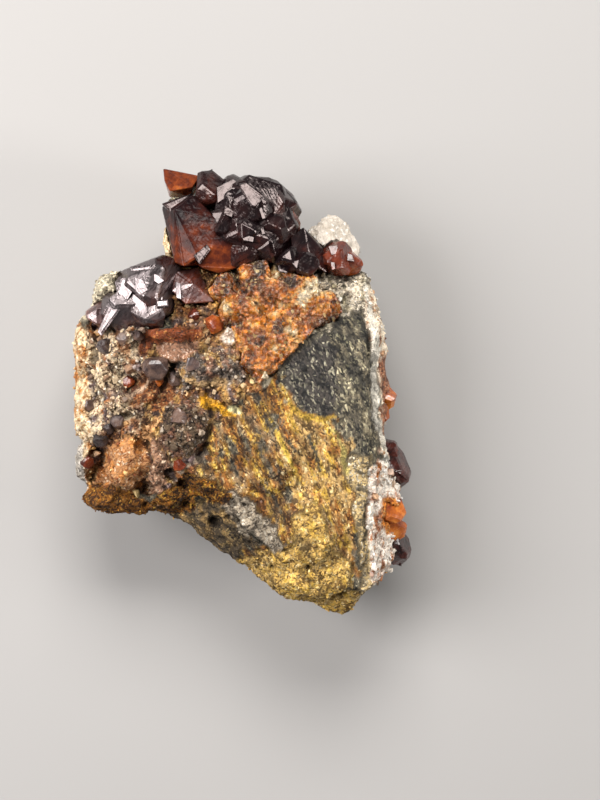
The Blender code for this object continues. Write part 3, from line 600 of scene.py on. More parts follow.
places += normals * depth[:, None]
write_points(rock_mesh, places)
places, normals = read_points(rock_mesh)
# Painted shade and light: the coat colours are darkened in creases and cracks and lightened on ridges, and
# each broken grain is made lighter or darker at random, before they are kept.
creases = hollowness(rock_mesh, places, normals, 3)
shade = 1 - CREASE_SHADE * np.clip(creases, 0, 1) + RIDGE_LIGHT * np.clip(-creases, 0, 1)
shade -= CRACK_SHADE * cracked
shade *= 1 + (facet_chance - 0.5) * np.clip(grit * 2.2, 0, 1)
shade = np.clip(shade, *SHADE_RANGE)[:, None]
for name, colours in zip(("ground", "fleck", "glint"), tones):
    write_colour(rock_mesh, name, colours * shade)
streaked = ("slate", "ochre", "yellow side of the ochre", "smooth black slate")
streaky = sum(covered[name] for name in streaked)
write_colour(rock_mesh, "traits", np.stack([flecks, grit, streaky * (1 - back_share)], axis=1))
rock_mesh.shade_smooth()


# Host rock, finish. Rock dust, crusts and tight mineral grains: dull, with a few glinting cleavage faces.
# The colours come from the coats above, and fine grains choose between them.
def feed(tree, socket, value):
    """Gives a socket a value, or links the output of another node to it."""
    if isinstance(value, bpy.types.NodeSocket):
        tree.links.new(value, socket)
    else:
        socket.default_value = value


def add_node(tree, kind, settings=None, **inputs):
    """Adds a node. Each input is a value, or the output of another node."""
    made = tree.nodes.new(kind)
    for key, value in (settings or {}).items():
        setattr(made, key, value)
    for key, value in inputs.items():
        feed(tree, made.inputs[key.replace("_", " ")], value)
    return made


def vectors(tree, operation, *values, kind="ShaderNodeVectorMath"):
    """One sum, product or other operation on vectors or outputs: its vector and its value."""
    made = add_node(tree, kind, {"operation": operation})
    for socket, value in zip(made.inputs, values):
        feed(tree, socket, value)
    return made.outputs


def calculate(tree, operation, *values):
    """One sum, product or other operation on values or outputs."""
    return vectors(tree, operation, *values, kind="ShaderNodeMath")[0]


def rise(tree, value, low, high, to_low=0.0, to_high=1.0):
    """Stretches a value from one range to another and holds it there."""
    ends = {"From_Min": low, "From_Max": high, "To_Min": to_low, "To_Max": to_high}
    return add_node(tree, "ShaderNodeMapRange", Value=value, **ends).outputs[0]


def thin_lines(tree, value, level, width):
    """1 on the lines along which a value passes a level, and 0 beside them."""
    away = calculate(tree, "ABSOLUTE", calculate(tree, "SUBTRACT", value, level))
    return rise(tree, away, 0.0, width, 1.0, 0.0)


def cloudy(tree, where, scale, detail, roughness=0.5, distortion=0.0):
    """Soft noise from 0 to 1, with so many swells in a metre."""
    return add_node(
        tree, "ShaderNodeTexNoise", Vector=where, Scale=scale, Detail=detail, Roughness=roughness,
        Distortion=distortion,
    ).outputs[0]


def kept(tree, name, output="Color"):
    """What the mesh keeps for each of its points under a name."""
    return add_node(tree, "ShaderNodeAttribute", {"attribute_name": name}).outputs[output]


def blend(tree, share, under, over, mode="MIX", kind="Color"):
    """Lays one colour, or one vector, over another by a share."""
    data_type = {"Color": "RGBA", "Vector": "VECTOR"}[kind]
    made = add_node(tree, "ShaderNodeMix", {"data_type": data_type, "blend_type": mode})
    sockets = {item.identifier: item for item in made.inputs}
    feed(tree, sockets["Factor_Float"], share)
    for letter, value in (("A", under), ("B", over)):
        feed(tree, sockets[f"{letter}_{kind}"], (*value, 1.0) if isinstance(value, tuple) else value)
    return next(item for item in made.outputs if item.identifier == f"Result_{kind}")


def dimmed(tree, colour, brightness):
    """A colour made darker or lighter by a value."""
    grey = add_node(tree, "ShaderNodeCombineColor", Red=brightness, Green=brightness, Blue=brightness)
    return blend(tree, 1.0, colour, grey.outputs[0], "MULTIPLY")


def new_group(name, inputs, outputs):
    """A shader node group with its sockets, and its two end nodes."""
    group = bpy.data.node_groups.new(name, "ShaderNodeTree")
    for socket, kind, value in inputs:
        made = group.interface.new_socket(socket, in_out="INPUT", socket_type=kind)
        if value is not None:
            made.default_value = value
    for socket, kind in outputs:
        group.interface.new_socket(socket, in_out="OUTPUT", socket_type=kind)
    return group, group.nodes.new("NodeGroupInput").outputs, group.nodes.new("NodeGroupOutput").inputs


def place_group(tree, group, **inputs):
    """Puts a node group into a material with its own values."""
    return add_node(tree, "ShaderNodeGroup", {"node_tree": group}, **inputs).outputs


def new_material(name, **constants):
    """A material, its shader with the even values on its own sockets, and the place on the piece."""
    material = bpy.data.materials.new(name)
    material.use_nodes = True
    tree = material.node_tree
    shader = tree.nodes["Principled BSDF"]
    for key, value in constants.items():
        shader.inputs[key.replace("_", " ")].default_value = value
    return material, tree, shader.inputs, add_node(tree, "ShaderNodeTexCoord").outputs["Object"]


def dress(tree, shader, colour, roughness, strength, distance, height):
    """Gives a material its colour, its roughness and the height by which its surface stands out."""
    tree.links.new(colour, shader["Base Color"])
    tree.links.new(roughness, shader["Roughness"])
    bump = add_node(tree, "ShaderNodeBump", Strength=strength, Distance=distance, Height=height)
    tree.links.new(bump.outputs[0], shader["Normal"])


def add_piece(name, mesh, material, node=None):
    """Puts a finished mesh in the scene, on the stone's one body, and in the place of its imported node."""
    mesh.materials.append(material)
    made = bpy.data.objects.new(name, mesh)
    bpy.context.scene.collection.objects.link(made)
    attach(made, "root")
    if node:
        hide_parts(node)


mineral_grain, given, wanted = new_group(
    "mineral_grain",
    [("Vector", "NodeSocketVector", None), ("Grains per metre", "NodeSocketFloat", 2000.0)],
    [
        ("Chance", "NodeSocketFloat"), ("Other chance", "NodeSocketFloat"), ("Height", "NodeSocketFloat"),
        ("Facet", "NodeSocketFloat"),
    ],
)
cells = add_node(
    mineral_grain, "ShaderNodeTexVoronoi", Vector=given["Vector"], Scale=given["Grains per metre"]
)
chances = add_node(mineral_grain, "ShaderNodeSeparateColor", Color=cells.outputs["Color"])
mineral_grain.links.new(chances.outputs["Red"], wanted["Chance"])
mineral_grain.links.new(chances.outputs["Green"], wanted["Other chance"])
mineral_grain.links.new(cells.outputs["Distance"], wanted["Height"])
off_middle = vectors(mineral_grain, "SUBTRACT", given["Vector"], cells.outputs["Position"])[0]
tilt = vectors(mineral_grain, "SUBTRACT", cells.outputs["Color"], (0.5, 0.5, 0.5))[0]
facet = vectors(mineral_grain, "DOT_PRODUCT", off_middle, tilt)[1]
mineral_grain.links.new(calculate(mineral_grain, "MULTIPLY", facet, 1000.0), wanted["Facet"])

rock_finish, tree, shader, where = new_material("host_rock", Specular_IOR_Level=0.35)
ground, fleck, glint, trait = [kept(tree, name) for name in ("ground", "fleck", "glint", "traits")]
trait = add_node(tree, "ShaderNodeSeparateColor", Color=trait).outputs
drawn = add_node(
    tree, "ShaderNodeMapping", {"vector_type": "TEXTURE"},
    Vector=where, Rotation=(0.0, 0.0, GRAIN_OF_THE_SLATE), Scale=(1.6, 0.85, 1.0),
)
grain_way = blend(tree, trait["Blue"], where, drawn.outputs[0], kind="Vector")
bend = add_node(tree, "ShaderNodeTexNoise", Vector=where, Scale=900.0, Detail=2.0)
bent = vectors(tree, "MULTIPLY_ADD", bend.outputs["Color"], (0.0008, 0.0008, 0.0008), grain_way)[0]
fine = place_group(tree, mineral_grain, Vector=bent, Grains_per_metre=2700.0)
coarse = place_group(tree, mineral_grain, Vector=bent, Grains_per_metre=1150.0)
streaks = cloudy(tree, bent, 1500.0, 4.0, 0.65, 0.9)
drift = cloudy(tree, bent, 330.0, 4.0, 0.6)

odds = calculate(tree, "MULTIPLY", coarse["Chance"], 0.55)
odds = calculate(tree, "MULTIPLY_ADD", fine["Chance"], 0.45, odds)
odds = calculate(tree, "MULTIPLY_ADD", calculate(tree, "SUBTRACT", drift, 0.5), 1.3, odds)
is_fleck = rise(tree, calculate(tree, "SUBTRACT", odds, trait["Red"]), 0.06, -0.03)
colour = blend(tree, is_fleck, ground, fleck)
# Painted glints: a few grains take the coat's bright glint colour; they are glossier as well, below.
glints = rise(tree, fine["Other chance"], 0.80, 0.86)
glints = calculate(tree, "MULTIPLY", glints, rise(tree, drift, 0.40, 0.55))
colour = blend(tree, calculate(tree, "MULTIPLY", glints, 0.8), colour, glint)
worms = thin_lines(tree, streaks, 0.5, 0.045)
colour = blend(tree, calculate(tree, "MULTIPLY", worms, 0.6), colour, fleck)
brightness = rise(tree, fine["Chance"], 0.0, 1.0, 0.66, 1.34)
brightness = calculate(tree, "MULTIPLY", brightness, rise(tree, drift, 0.3, 0.7, 0.68, 1.28))

dull = rise(tree, trait["Green"], 0.08, 0.2, 0.5, 1.0)
dull = calculate(tree, "MULTIPLY", rise(tree, glints, 0.0, 1.0, 0.85, 0.40), dull)
grooves = calculate(tree, "MULTIPLY", coarse["Height"], 0.8)
grooves = calculate(tree, "MULTIPLY_ADD", fine["Height"], 0.5, grooves)
relief = calculate(tree, "SUBTRACT", calculate(tree, "MULTIPLY", streaks, 1.3), grooves)
facets = calculate(tree, "MULTIPLY_ADD", fine["Facet"], 0.7, coarse["Facet"])
facet_share = rise(tree, trait["Green"], 0.1, 0.45, 0.4, 3.4)
relief = calculate(tree, "MULTIPLY_ADD", facets, facet_share, relief)
dress(tree, shader, dimmed(tree, colour, brightness), dull, 0.85, 0.0004, relief)
add_piece("host_rock", rock_mesh, rock_finish, "matrix")


# Grains of the host rock. Angular bits of quartz, calcite and sphalerite that stand out of the granular
# left side, the crusts and the flank, each sunk about half way into the skin where it grew.
GRAIN_SHAPES = 9
GRAIN_CORNERS = 11
GRAIN_SPREAD = 0.42
GRAIN_LIFT = 0.15

chance = random.Random(4)
grain_shapes = []
for _ in range(GRAIN_SHAPES):
    body = bmesh.new()
    for _ in range(GRAIN_CORNERS):
        corner = Vector([chance.gauss(0, 1) for _ in range(3)]).normalized()
        body.verts.new(Vector((corner.x, corner.y * chance.uniform(0.75, 1.0), corner.z * 0.8)))
    hull = bmesh.ops.convex_hull(body, input=body.verts[:])
    bmesh.ops.delete(body, geom=hull["geom_interior"], context="VERTS")
    bmesh.ops.recalc_face_normals(body, faces=body.faces[:])
    body.verts.index_update()
    grain_shapes.append(
        (np.array([v.co[:] for v in body.verts]), [[v.index for v in face.verts] for face in body.faces])
    )
    body.free()


def grain_mesh(name, seats, sizes, colours, seed):
    """One mesh of many grains, with a turned and stretched shape at each seat."""
    chance = random.Random(seed)
    points, faces, shades = [], [], []
    count = 0
    for seat, size, colour in zip(seats, sizes, colours):
        shape, sides = grain_shapes[chance.randrange(GRAIN_SHAPES)]
        turn = np.array(Euler([chance.uniform(0, 6.3) for _ in range(3)]).to_matrix())
        points.append(seat + (shape * size) @ turn.T)
        faces += [[i + count for i in side] for side in sides]
        shades.append(np.tile(colour, (len(shape), 1)))
        count += len(shape)
    mesh = bpy.data.meshes.new(name)
    mesh.from_pydata(np.zeros((count, 3)).tolist(), [], faces)
    write_points(mesh, np.vstack(points))
    write_colour(mesh, "tone", np.vstack(shades))
    return mesh


def seats_on(surface, facing, weight, count, size, seed):
    """Picks places on a surface by weight, and a size for each: many small ones and a few large."""
    chance = np.random.default_rng(seed)
    count = min(count, np.count_nonzero(weight))
    picked = chance.choice(len(surface), size=count, replace=False, p=weight / weight.sum())
    sizes = size * np.exp(chance.normal(0, GRAIN_SPREAD, count))
    return surface[picked] + facing[picked] * (GRAIN_LIFT * sizes)[:, None], sizes, picked


grain_finish, tree, shader, where = new_material("rock_grains", IOR=1.55)
cloud = cloudy(tree, where, 2200.0, 3.0)
colour = dimmed(tree, kept(tree, "tone"), rise(tree, cloud, 0.3, 0.7, 0.55, 1.25))
dress(tree, shader, colour, rise(tree, cloud, 0.35, 0.65, 0.35, 0.8), 0.6, 0.0001, cloud)

# The shares of ground, fleck and glint colours among the grains, and how dark or light they are
GRAIN_KINDS = (0.50, 0.28, 0.22)
GRAIN_TONES = (0.7, 1.15)
# How many grains each group of coats carries, and their usual half width in millimetres
GRAIN_FIELDS = [
    (["cream grains", "mixed brown"], 900, 0.38),
    (["violet-grey plate", "violet-grey lump"], 300, 0.30),
    (["left edge", "pale block", "upper right rock"], 400, 0.28),
    (["white vein", "flank"], 420, 0.38),
    (["ochre", "yellow side of the ochre", "mustard", "gold crust", "ochre roll"], 800, 0.20),
    (["pink nodule", "curved brown rib"], 60, 0.28),
]
grain_seats, grain_sizes, grain_tones = [], [], []
for number, (names, count, size) in enumerate(GRAIN_FIELDS):
    weight = sum(covered[name] for name in names) * front * (1 - cracked)
    seats, sizes, picked = seats_on(places, normals, weight, count, size, 50 + number)
    pick = np.random.default_rng(60 + number)
    kind = pick.choice(3, size=len(picked), p=GRAIN_KINDS)
    grain_seats.append(seats)
    grain_sizes.append(sizes)
    grain_tones.append(tones[kind, picked] * pick.uniform(*GRAIN_TONES, (len(picked), 1)))
add_piece(
    "rock_grains",
    grain_mesh("rock_grains", np.vstack(grain_seats), np.hstack(grain_sizes), np.vstack(grain_tones), 7),
    grain_finish,
)


# Crown. The dark sphalerite at the top: sharp, intergrown crystals of black to deep red zinc blende, with
# growth plates on their faces. They grew out of the rock and sit in it by their roots.
TETRAHEDRON = 0.7
COUNTER_TETRAHEDRON = 0.96
CUBE = 0.94
DODECAHEDRON = 0.93
UNEVEN = 0.1
EDGE_WEAR = 0.07
BROAD_FACE = 3.0
ROOM_FOR_A_PLATE = 2.0
PLATE_RIM = (0.22, 0.5)
PLATE_STEP = 0.06
PLATE_ROOT = 3.0
ABOVE_THE_STONE = 60.0
BLOCK_TO_CUT = 300.0

# Centre, size, turn about X, Y and Z in degrees, and how much red light the crystal lets through
CROWN = [
    ((2.0, 34.2, 25.6), 9.0, (20, -15, 25), 0.10),
    ((3.2, 35.2, 24.4), 8.2, (70, 25, -20), 0.22),
    ((-0.6, 33.6, 27.0), 6.2, (-35, 40, 70), 0.08),
    ((6.8, 34.2, 26.0), 5.2, (15, 60, 10), 0.50),
    ((-6.4, 40.0, 25.4), 4.3, (40, 10, 50), 0.28),
    ((0.8, 29.0, 28.8), 4.9, (10, -30, 65), 0.22),
    ((5.8, 29.4, 29.4), 4.2, (60, 20, 15), 0.10),
    ((9.4, 26.4, 31.0), 2.9, (25, 35, 0), 0.05),
    ((12.6, 25.6, 30.8), 2.7, (-20, 50, 30), 0.10),
    ((-0.8, 39.4, 25.4), 4.6, (-10, 35, 20), 0.18),
    ((-2.4, 33.4, 30.6), 3.3, (50, 0, 30), 0.05),
    ((2.2, 37.0, 31.2), 4.4, (-30, 20, 5), 0.05),
    ((5.6, 37.0, 28.8), 3.9, (25, -35, 40), 0.20),
    ((6.2, 32.4, 30.6), 3.6, (5, 50, -20), 0.12),
    ((1.4, 32.0, 32.0), 3.3, (40, 30, 60), 0.05),
]
SPLINTER = [
    (-15.7, 44.9, 25.0), (-8.4, 43.4, 26.0), (-9.8, 41.0, 28.4), (-14.2, 40.2, 28.0),
    (-15.4, 42.4, 26.6), (-8.6, 42.6, 21.5), (-10.0, 39.5, 20.0), (-14.6, 39.5, 20.5), (-14.6, 43.6, 22.0),
]
PYRAMID = [
    (-15.9, 37.2, 26.0), (-13.1, 36.3, 31.8), (-9.7, 39.3, 29.4), (-4.6, 34.2, 31.0), (-1.8, 30.8, 31.2),
    (-8.0, 27.0, 33.0), (-11.4, 25.2, 31.6), (-13.1, 25.9, 30.4), (-13.8, 36.6, 18.0), (-9.7, 40.4, 18.0),
    (-2.4, 33.0, 17.0), (-12.6, 26.0, 17.0), (-3.0, 26.4, 18.0),
]
LOWER_FACET = [
    (-8.2, 30.2, 31.6), (-1.7, 31.2, 32.4), (-1.0, 24.9, 31.2), (-4.2, 23.8, 30.8), (-8.4, 25.2, 32.2),
    (-8.0, 29.0, 20.0), (-1.4, 29.0, 20.0), (-1.4, 24.6, 20.0), (-8.0, 25.0, 20.0),
]
SLANTING_PRISM = [
    (9.8, 31.0, 29.6), (12.3, 33.0, 27.6), (16.2, 28.8, 27.6), (16.9, 24.0, 28.4), (13.6, 26.0, 31.0),
    (10.2, 27.6, 31.6), (10.0, 31.0, 18.0), (12.3, 32.6, 18.0), (16.4, 28.2, 18.0), (16.4, 24.2, 18.0),
    (10.4, 26.0, 18.0),
]
CROWN_CLEAR = [(SPLINTER, 0.58), (PYRAMID, 0.38), (LOWER_FACET, 0.52)]
# Painted glow: each crystal glows less towards its top, by so much for each millimetre, so that it is darker
# at the top and redder below.
GLOW_FALL = 0.034

# Plates that shine: corners as the face is seen, the direction in which each faces, its lift and its glow
UP_AND_BACK = (0.0, 0.36, 0.93)
STEEPER_BACK = (0.06, 0.44, 0.90)
FLATTER_BACK = (-0.06, 0.27, 0.96)
UP_AND_LEFT = (-0.40, 0.05, 0.92)
FLATTER_LEFT = (-0.29, 0.10, 0.95)
CROWN_PLATES = [
    ([(-4.9, 40.8), (-1.5, 42.6), (-0.5, 41.4), (-3.2, 38.7), (-4.7, 37.6)], UP_AND_BACK, 0.4, 0.05),
    ([(-0.5, 41.2), (1.0, 41.4), (4.4, 38.7), (3.1, 36.4), (1.9, 36.6), (0.6, 38.7)],
     FLATTER_BACK, 0.6, 0.05),
    ([(2.9, 38.1), (3.6, 38.0), (4.9, 34.4), (4.2, 34.2)], UP_AND_BACK, 0.3, 0.05),
    ([(-15.8, 37.6), (-9.9, 39.7), (-11.4, 38.2), (-13.7, 35.7)], UP_AND_BACK, 0.5, 0.10),
    ([(-3.2, 37.1), (-1.4, 35.9), (-1.8, 34.7), (-3.4, 35.3)], STEEPER_BACK, 0.4, 0.05),
    ([(7.0, 26.3), (9.4, 25.1), (9.2, 23.7), (7.4, 24.1)], STEEPER_BACK, 0.3, 0.05),
    ([(9.8, 25.9), (11.4, 26.3), (11.0, 24.5)], UP_AND_BACK, 0.3, 0.05),
    ([(0.0, 31.5), (2.6, 30.7), (2.4, 29.7), (0.4, 30.1)], FLATTER_BACK, 0.3, 0.08),
    ([(-9.4, 27.2), (-6.8, 29.4), (-6.0, 28.4), (-8.2, 25.4)], FLATTER_BACK, 0.2, 0.10),
    ([(3.4, 33.6), (4.2, 33.4), (4.8, 31.4), (4.2, 31.2)], UP_AND_BACK, 0.3, 0.05),
]


def habit_planes(centre, size, turn, seed):
    """The planes of a sphalerite crystal: two tetrahedra, a cube and a dodecahedron, unevenly grown."""
    chance = random.Random(seed)
    rotation = Euler([math.radians(angle) for angle in turn]).to_matrix()
    signs = (-1, 1)
    corners = [(x, y, z) for x in signs for y in signs for z in signs]
    edges = [(a, b, 0) for a in signs for b in signs]
    edges += [(a, 0, b) for a in signs for b in signs]
    edges += [(0, a, b) for a in signs for b in signs]
    families = [
        (TETRAHEDRON, [corner for corner in corners if math.prod(corner) > 0]),
        (COUNTER_TETRAHEDRON, [corner for corner in corners if math.prod(corner) < 0]),
        (CUBE, [(s, 0, 0) for s in signs] + [(0, s, 0) for s in signs] + [(0, 0, s) for s in signs]),
        (DODECAHEDRON, edges),
    ]
    planes = []
    for distance, directions in families:
        for direction in directions:
            normal = rotation @ Vector(direction).normalized()
            reach = size * distance * (1 + chance.uniform(-UNEVEN, UNEVEN))
            planes.append((normal, normal.dot(Vector(centre)) + reach))
    return planes


def regular_crystal(centre, size, turn, seed):
    """A closed crystal of regular habit."""
    body = bmesh.new()
    bmesh.ops.create_cube(body, size=BLOCK_TO_CUT)
    for normal, distance in habit_planes(centre, size, turn, seed):
        everything = body.verts[:] + body.edges[:] + body.faces[:]
        bmesh.ops.bisect_plane(
            body, geom=everything, dist=1e-5, plane_co=normal * distance, plane_no=normal, clear_outer=True
        )
        rim = [edge for edge in body.edges if edge.is_boundary]
        if rim:
            bmesh.ops.holes_fill(body, edges=rim, sides=0)
    return body


def cornered_crystal(corners):
    """A closed crystal with these corners."""
    body = bmesh.new()
    for corner in corners:
        body.verts.new(corner)
    bmesh.ops.convex_hull(body, input=body.verts[:])
    bmesh.ops.dissolve_limit(body, angle_limit=math.radians(2), verts=body.verts[:], edges=body.edges[:])
    return body


def surface_height(surface, x, y):
    """The height of the surface at a place on the face."""
    return surface.ray_cast(Vector((x, y, ABOVE_THE_STONE)), Vector((0, 0, -1)))[0].z


def plate_on(surface, outline, facing, lift):
    """A tilted plate that grew on the surface below the middle of its outline, and is rooted in it."""
    middle = np.mean(outline, axis=0)
    level = surface_height(surface, *middle)
    normal = Vector(facing).normalized()
    top = []
    for x, y in outline:
        slope = (normal.x * (x - middle[0]) + normal.y * (y - middle[1])) / normal.z
        top.append((x, y, level + lift - slope))
    return cornered_crystal(top + [(x, y, min(z, level) - PLATE_ROOT) for x, y, z in top])


def finish_faces(body, seed):
    """Softens the crystal's edges and lays thin growth plates on its broad faces."""
    chance = random.Random(seed)
    bmesh.ops.recalc_face_normals(body, faces=body.faces[:])
    bmesh.ops.bevel(
        body, geom=body.edges[:], offset=EDGE_WEAR, segments=1, affect="EDGES", clamp_overlap=True
    )
    broad = [face for face in body.faces if face.calc_area() > BROAD_FACE]
    for face in broad:
        for _ in range(chance.choice((0, 1, 1, 2, 2))):
            if face.calc_area() > ROOM_FOR_A_PLATE:
                rim = chance.uniform(*PLATE_RIM)
                bmesh.ops.inset_individual(body, faces=[face], thickness=rim, depth=PLATE_STEP)


def join(whole, body):
    """Adds a copy of one body to another."""
    part = bpy.data.meshes.new("crystal")
    body.to_mesh(part)
    whole.from_mesh(part)


def cluster(name, grown, broken, seed, plates=(), beside=()):
    """Joins crystals into one mesh and keeps their glow. The plates may grow on the crystals beside too."""
    bodies = [(regular_crystal(*crystal[:3], number), crystal[3]) for number, crystal in enumerate(grown)]
    bodies += [(cornered_crystal(corners), glows) for corners, glows in broken]
    rough = bmesh.new()
    for body, _ in bodies + [(cornered_crystal(corners), glows) for corners, glows in beside]:
        join(rough, body)
    surface = BVHTree.FromBMesh(rough)
    bodies += [(plate_on(surface, outline, facing, lift), glows) for outline, facing, lift, glows in plates]
    whole = bmesh.new()
    glow = whole.verts.layers.float.new("glow")
    for number, (body, glows) in enumerate(bodies):
        finish_faces(body, seed + number)
        before = len(whole.verts)
        join(whole, body)
        whole.verts.ensure_lookup_table()
        middle = sum(vert.co.y for vert in whole.verts[before:]) / (len(whole.verts) - before)
        for vert in whole.verts[before:]:
            vert[glow] = glows - GLOW_FALL * (vert.co.y - middle)
    mesh = bpy.data.meshes.new(name)
    whole.to_mesh(mesh)
    write_points(mesh, np.array([vert.co[:] for vert in mesh.vertices]))
    return mesh


growth_lines, given, wanted = new_group(
    "growth_lines",
    [("Vector", "NodeSocketVector", None), ("Lines per metre", "NodeSocketFloat", 900.0)],
    [("Height", "NodeSocketFloat"), ("Bloom", "NodeSocketFloat")],
)
bands = add_node(
    growth_lines, "ShaderNodeTexWave", {"bands_direction": "DIAGONAL"},
    Vector=given["Vector"], Scale=given["Lines per metre"], Distortion=14.0, Detail=3.0, Detail_Scale=0.3,
)
steps = add_node(
    growth_lines, "ShaderNodeTexVoronoi", {"distance": "MANHATTAN"}, Vector=given["Vector"], Scale=620.0
)
waves = cloudy(growth_lines, given["Vector"], 600.0, 4.0)
height = calculate(growth_lines, "MULTIPLY", waves, 0.9)
height = calculate(growth_lines, "MULTIPLY_ADD", bands.outputs["Fac"], 0.10, height)
height = calculate(growth_lines, "MULTIPLY_ADD", steps.outputs["Distance"], 0.45, height)
combed = add_node(
    growth_lines, "ShaderNodeMapping", {"vector_type": "TEXTURE"},
    Vector=given["Vector"], Rotation=(0.3, 0.5, 1.0), Scale=(5.0, 1.0, 1.0),
)
bloom = cloudy(growth_lines, combed.outputs[0], 1700.0, 4.0)
height = calculate(growth_lines, "MULTIPLY_ADD", bloom, 0.35, height)
growth_lines.links.new(height, wanted["Height"])
growth_lines.links.new(bloom, wanted["Bloom"])


def blende_finish(name, stops, smooth, dull, contrast, **constants):
    """Sphalerite: coloured by the light that the crystal lets through, resinous, with growth lines."""
    material, tree, shader, where = new_material(name, **constants)
    depths = cloudy(tree, where, 300.0, 5.0, 0.65)
    veils = add_node(tree, "ShaderNodeTexVoronoi", Vector=where, Scale=480.0).outputs["Color"]
    veils = add_node(tree, "ShaderNodeSeparateColor", Color=veils).outputs["Red"]
    lit = kept(tree, "glow", "Fac")
    lit = calculate(tree, "MULTIPLY_ADD", calculate(tree, "SUBTRACT", depths, 0.5), contrast, lit)
    lit = calculate(tree, "MULTIPLY_ADD", calculate(tree, "SUBTRACT", veils, 0.5), 0.15 * contrast, lit)
    ramp = add_node(tree, "ShaderNodeValToRGB", Fac=lit)
    while len(ramp.color_ramp.elements) < len(stops):
        ramp.color_ramp.elements.new(0.5)
    for element, (at, colour) in zip(ramp.color_ramp.elements, stops):
        element.position = at
        element.color = (*colour, 1.0)
    lines = place_group(tree, growth_lines, Vector=where, Lines_per_metre=800.0)
    gloss = rise(tree, lines["Bloom"], 0.42, 0.66, smooth, dull)
    dress(tree, shader, ramp.outputs[0], gloss, 0.7, 0.00014, lines["Height"])
    return material


DARK_STOPS = [
    (0.0, (0.007, 0.004, 0.005)), (0.22, (0.020, 0.007, 0.007)), (0.45, (0.075, 0.017, 0.010)),
    (0.65, (0.21, 0.046, 0.014)), (1.0, (0.56, 0.17, 0.026)),
]
dark_blende = blende_finish(
    "dark_blende", DARK_STOPS, 0.10, 0.34, 0.9, IOR=1.68, Specular_Tint=(0.86, 0.73, 0.71, 1.0)
)
clear_blende = blende_finish("clear_blende", DARK_STOPS, 0.10, 0.30, 1.0, IOR=1.36, Specular_IOR_Level=0.2)
add_piece(
    "crown", cluster("crown", CROWN, [(SLANTING_PRISM, 0.18)], 100, CROWN_PLATES, CROWN_CLEAR), dark_blende,
    "crown_crystals",
)
add_piece("crown_clear", cluster("crown_clear", [], CROWN_CLEAR, 150), clear_blende)


# Shoulder. A second dark cluster on the left shoulder, of the same blende, with broad faces that mirror the
# light. It is rooted in the granular rock below it.
SHOULDER = [
    ((-17.8, 21.4, 28.6), 6.6, (35, 20, -15), 0.10),
    ((-22.6, 16.4, 28.6), 5.3, (-25, 15, 40), 0.10),
    ((-18.0, 16.4, 31.0), 4.0, (15, -40, 20), 0.12),
    ((-28.2, 15.6, 26.4), 3.1, (50, 10, 0), 0.42),
    ((-22.2, 21.0, 28.0), 3.4, (5, 30, 55), 0.14),
]
SHOULDER_WEDGE = [
    (-13.2, 24.2, 29.4), (-8.6, 24.9, 28.2), (-9.6, 21.6, 31.8), (-5.4, 18.1, 31.4), (-11.0, 17.7, 32.2),
    (-13.6, 20.2, 32.0), (-13.4, 23.2, 21.0), (-8.4, 23.8, 21.0), (-5.8, 18.4, 22.0), (-12.4, 18.0, 21.0),
]
SHOULDER_PLATES = [
    ([(-23.8, 22.7), (-21.7, 23.1), (-21.1, 20.6), (-22.4, 18.5), (-24.6, 19.5)], UP_AND_LEFT, 0.3, 0.12),
    ([(-20.9, 22.9), (-19.2, 22.3), (-18.2, 20.3), (-19.8, 19.3), (-20.7, 20.1)], FLATTER_LEFT, 0.3, 0.12),
    ([(-21.4, 19.9), (-19.2, 19.3), (-18.3, 16.1), (-19.4, 15.1), (-21.8, 18.1)], UP_AND_LEFT, 0.5, 0.12),
    ([(-24.6, 20.1), (-22.2, 18.7), (-25.7, 15.3), (-27.6, 11.4), (-28.4, 12.1), (-26.3, 16.7)],
     FLATTER_LEFT, 0.3, 0.12),
    ([(-17.9, 23.7), (-16.4, 23.3), (-15.0, 22.1), (-16.2, 21.5), (-17.7, 22.5)], UP_AND_LEFT, 0.4, 0.08),
    ([(-16.8, 18.3), (-14.4, 18.5), (-14.2, 17.1), (-16.6, 16.9)], UP_AND_BACK, 0.6, 0.05),
    ([(-13.0, 22.1), (-12.0, 21.7), (-11.8, 18.5), (-12.8, 18.9)], UP_AND_LEFT, 0.4, 0.10),
    ([(-22.0, 25.0), (-17.6, 25.4), (-18.0, 23.9), (-21.6, 23.7)], UP_AND_LEFT, 0.2, 0.10),
]
satin_blende = blende_finish(
    "satin_blende", DARK_STOPS, 0.24, 0.46, 1.0, IOR=2.6, Specular_Tint=(1.0, 0.88, 0.89, 1.0)
)
add_piece(
    "shoulder", cluster("shoulder", SHOULDER, [(SHOULDER_WEDGE, 0.40)], 200, SHOULDER_PLATES), satin_blende,
    "shoulder_crystals",
)


# Side crystals. Small bright crystals of redder and smokier blende at the upper right and on the right
# flank. Each is grown into the white vein or the pale rock.
SIDE = [((18.9, 26.9, 26.4), 3.6, (48, 30, 8), 0.42), ((21.6, 26.2, 24.8), 2.6, (20, 40, 30), 0.46)]
SIDE_PLATES = [
    ([(17.2, 29.2), (19.0, 29.4), (19.4, 27.8), (17.8, 27.4)], UP_AND_BACK, 0.3, 0.2),
    ([(20.4, 28.2), (22.0, 27.6), (22.4, 26.2), (21.0, 26.4)], UP_AND_BACK, 0.3, 0.2),
    ([(17.6, 26.6), (18.4, 26.7), (18.6, 24.6), (17.9, 24.4)], UP_AND_BACK, 0.3, 0.3),
]
FLANK_UPPER = [((29.4, -14.8, 16.8), 4.8, (25, 35, 10), 0.14), ((28.4, -11.4, 19.4), 3.0, (0, 30, 50), 0.2)]
FLANK_LOWER = [
    ((29.4, -23.4, 20.8), 3.3, (35, 5, 20), 0.72), ((30.2, -27.0, 19.0), 2.9, (10, 50, 40), 0.66),
    ((30.8, -31.0, 16.0), 3.7, (20, 30, 0), 0.12),
]
EDGE = [((28.0, -0.6, 21.6), 2.8, (15, 25, 30), 0.75), ((27.6, -3.8, 20.6), 2.2, (40, 10, 5), 0.6)]
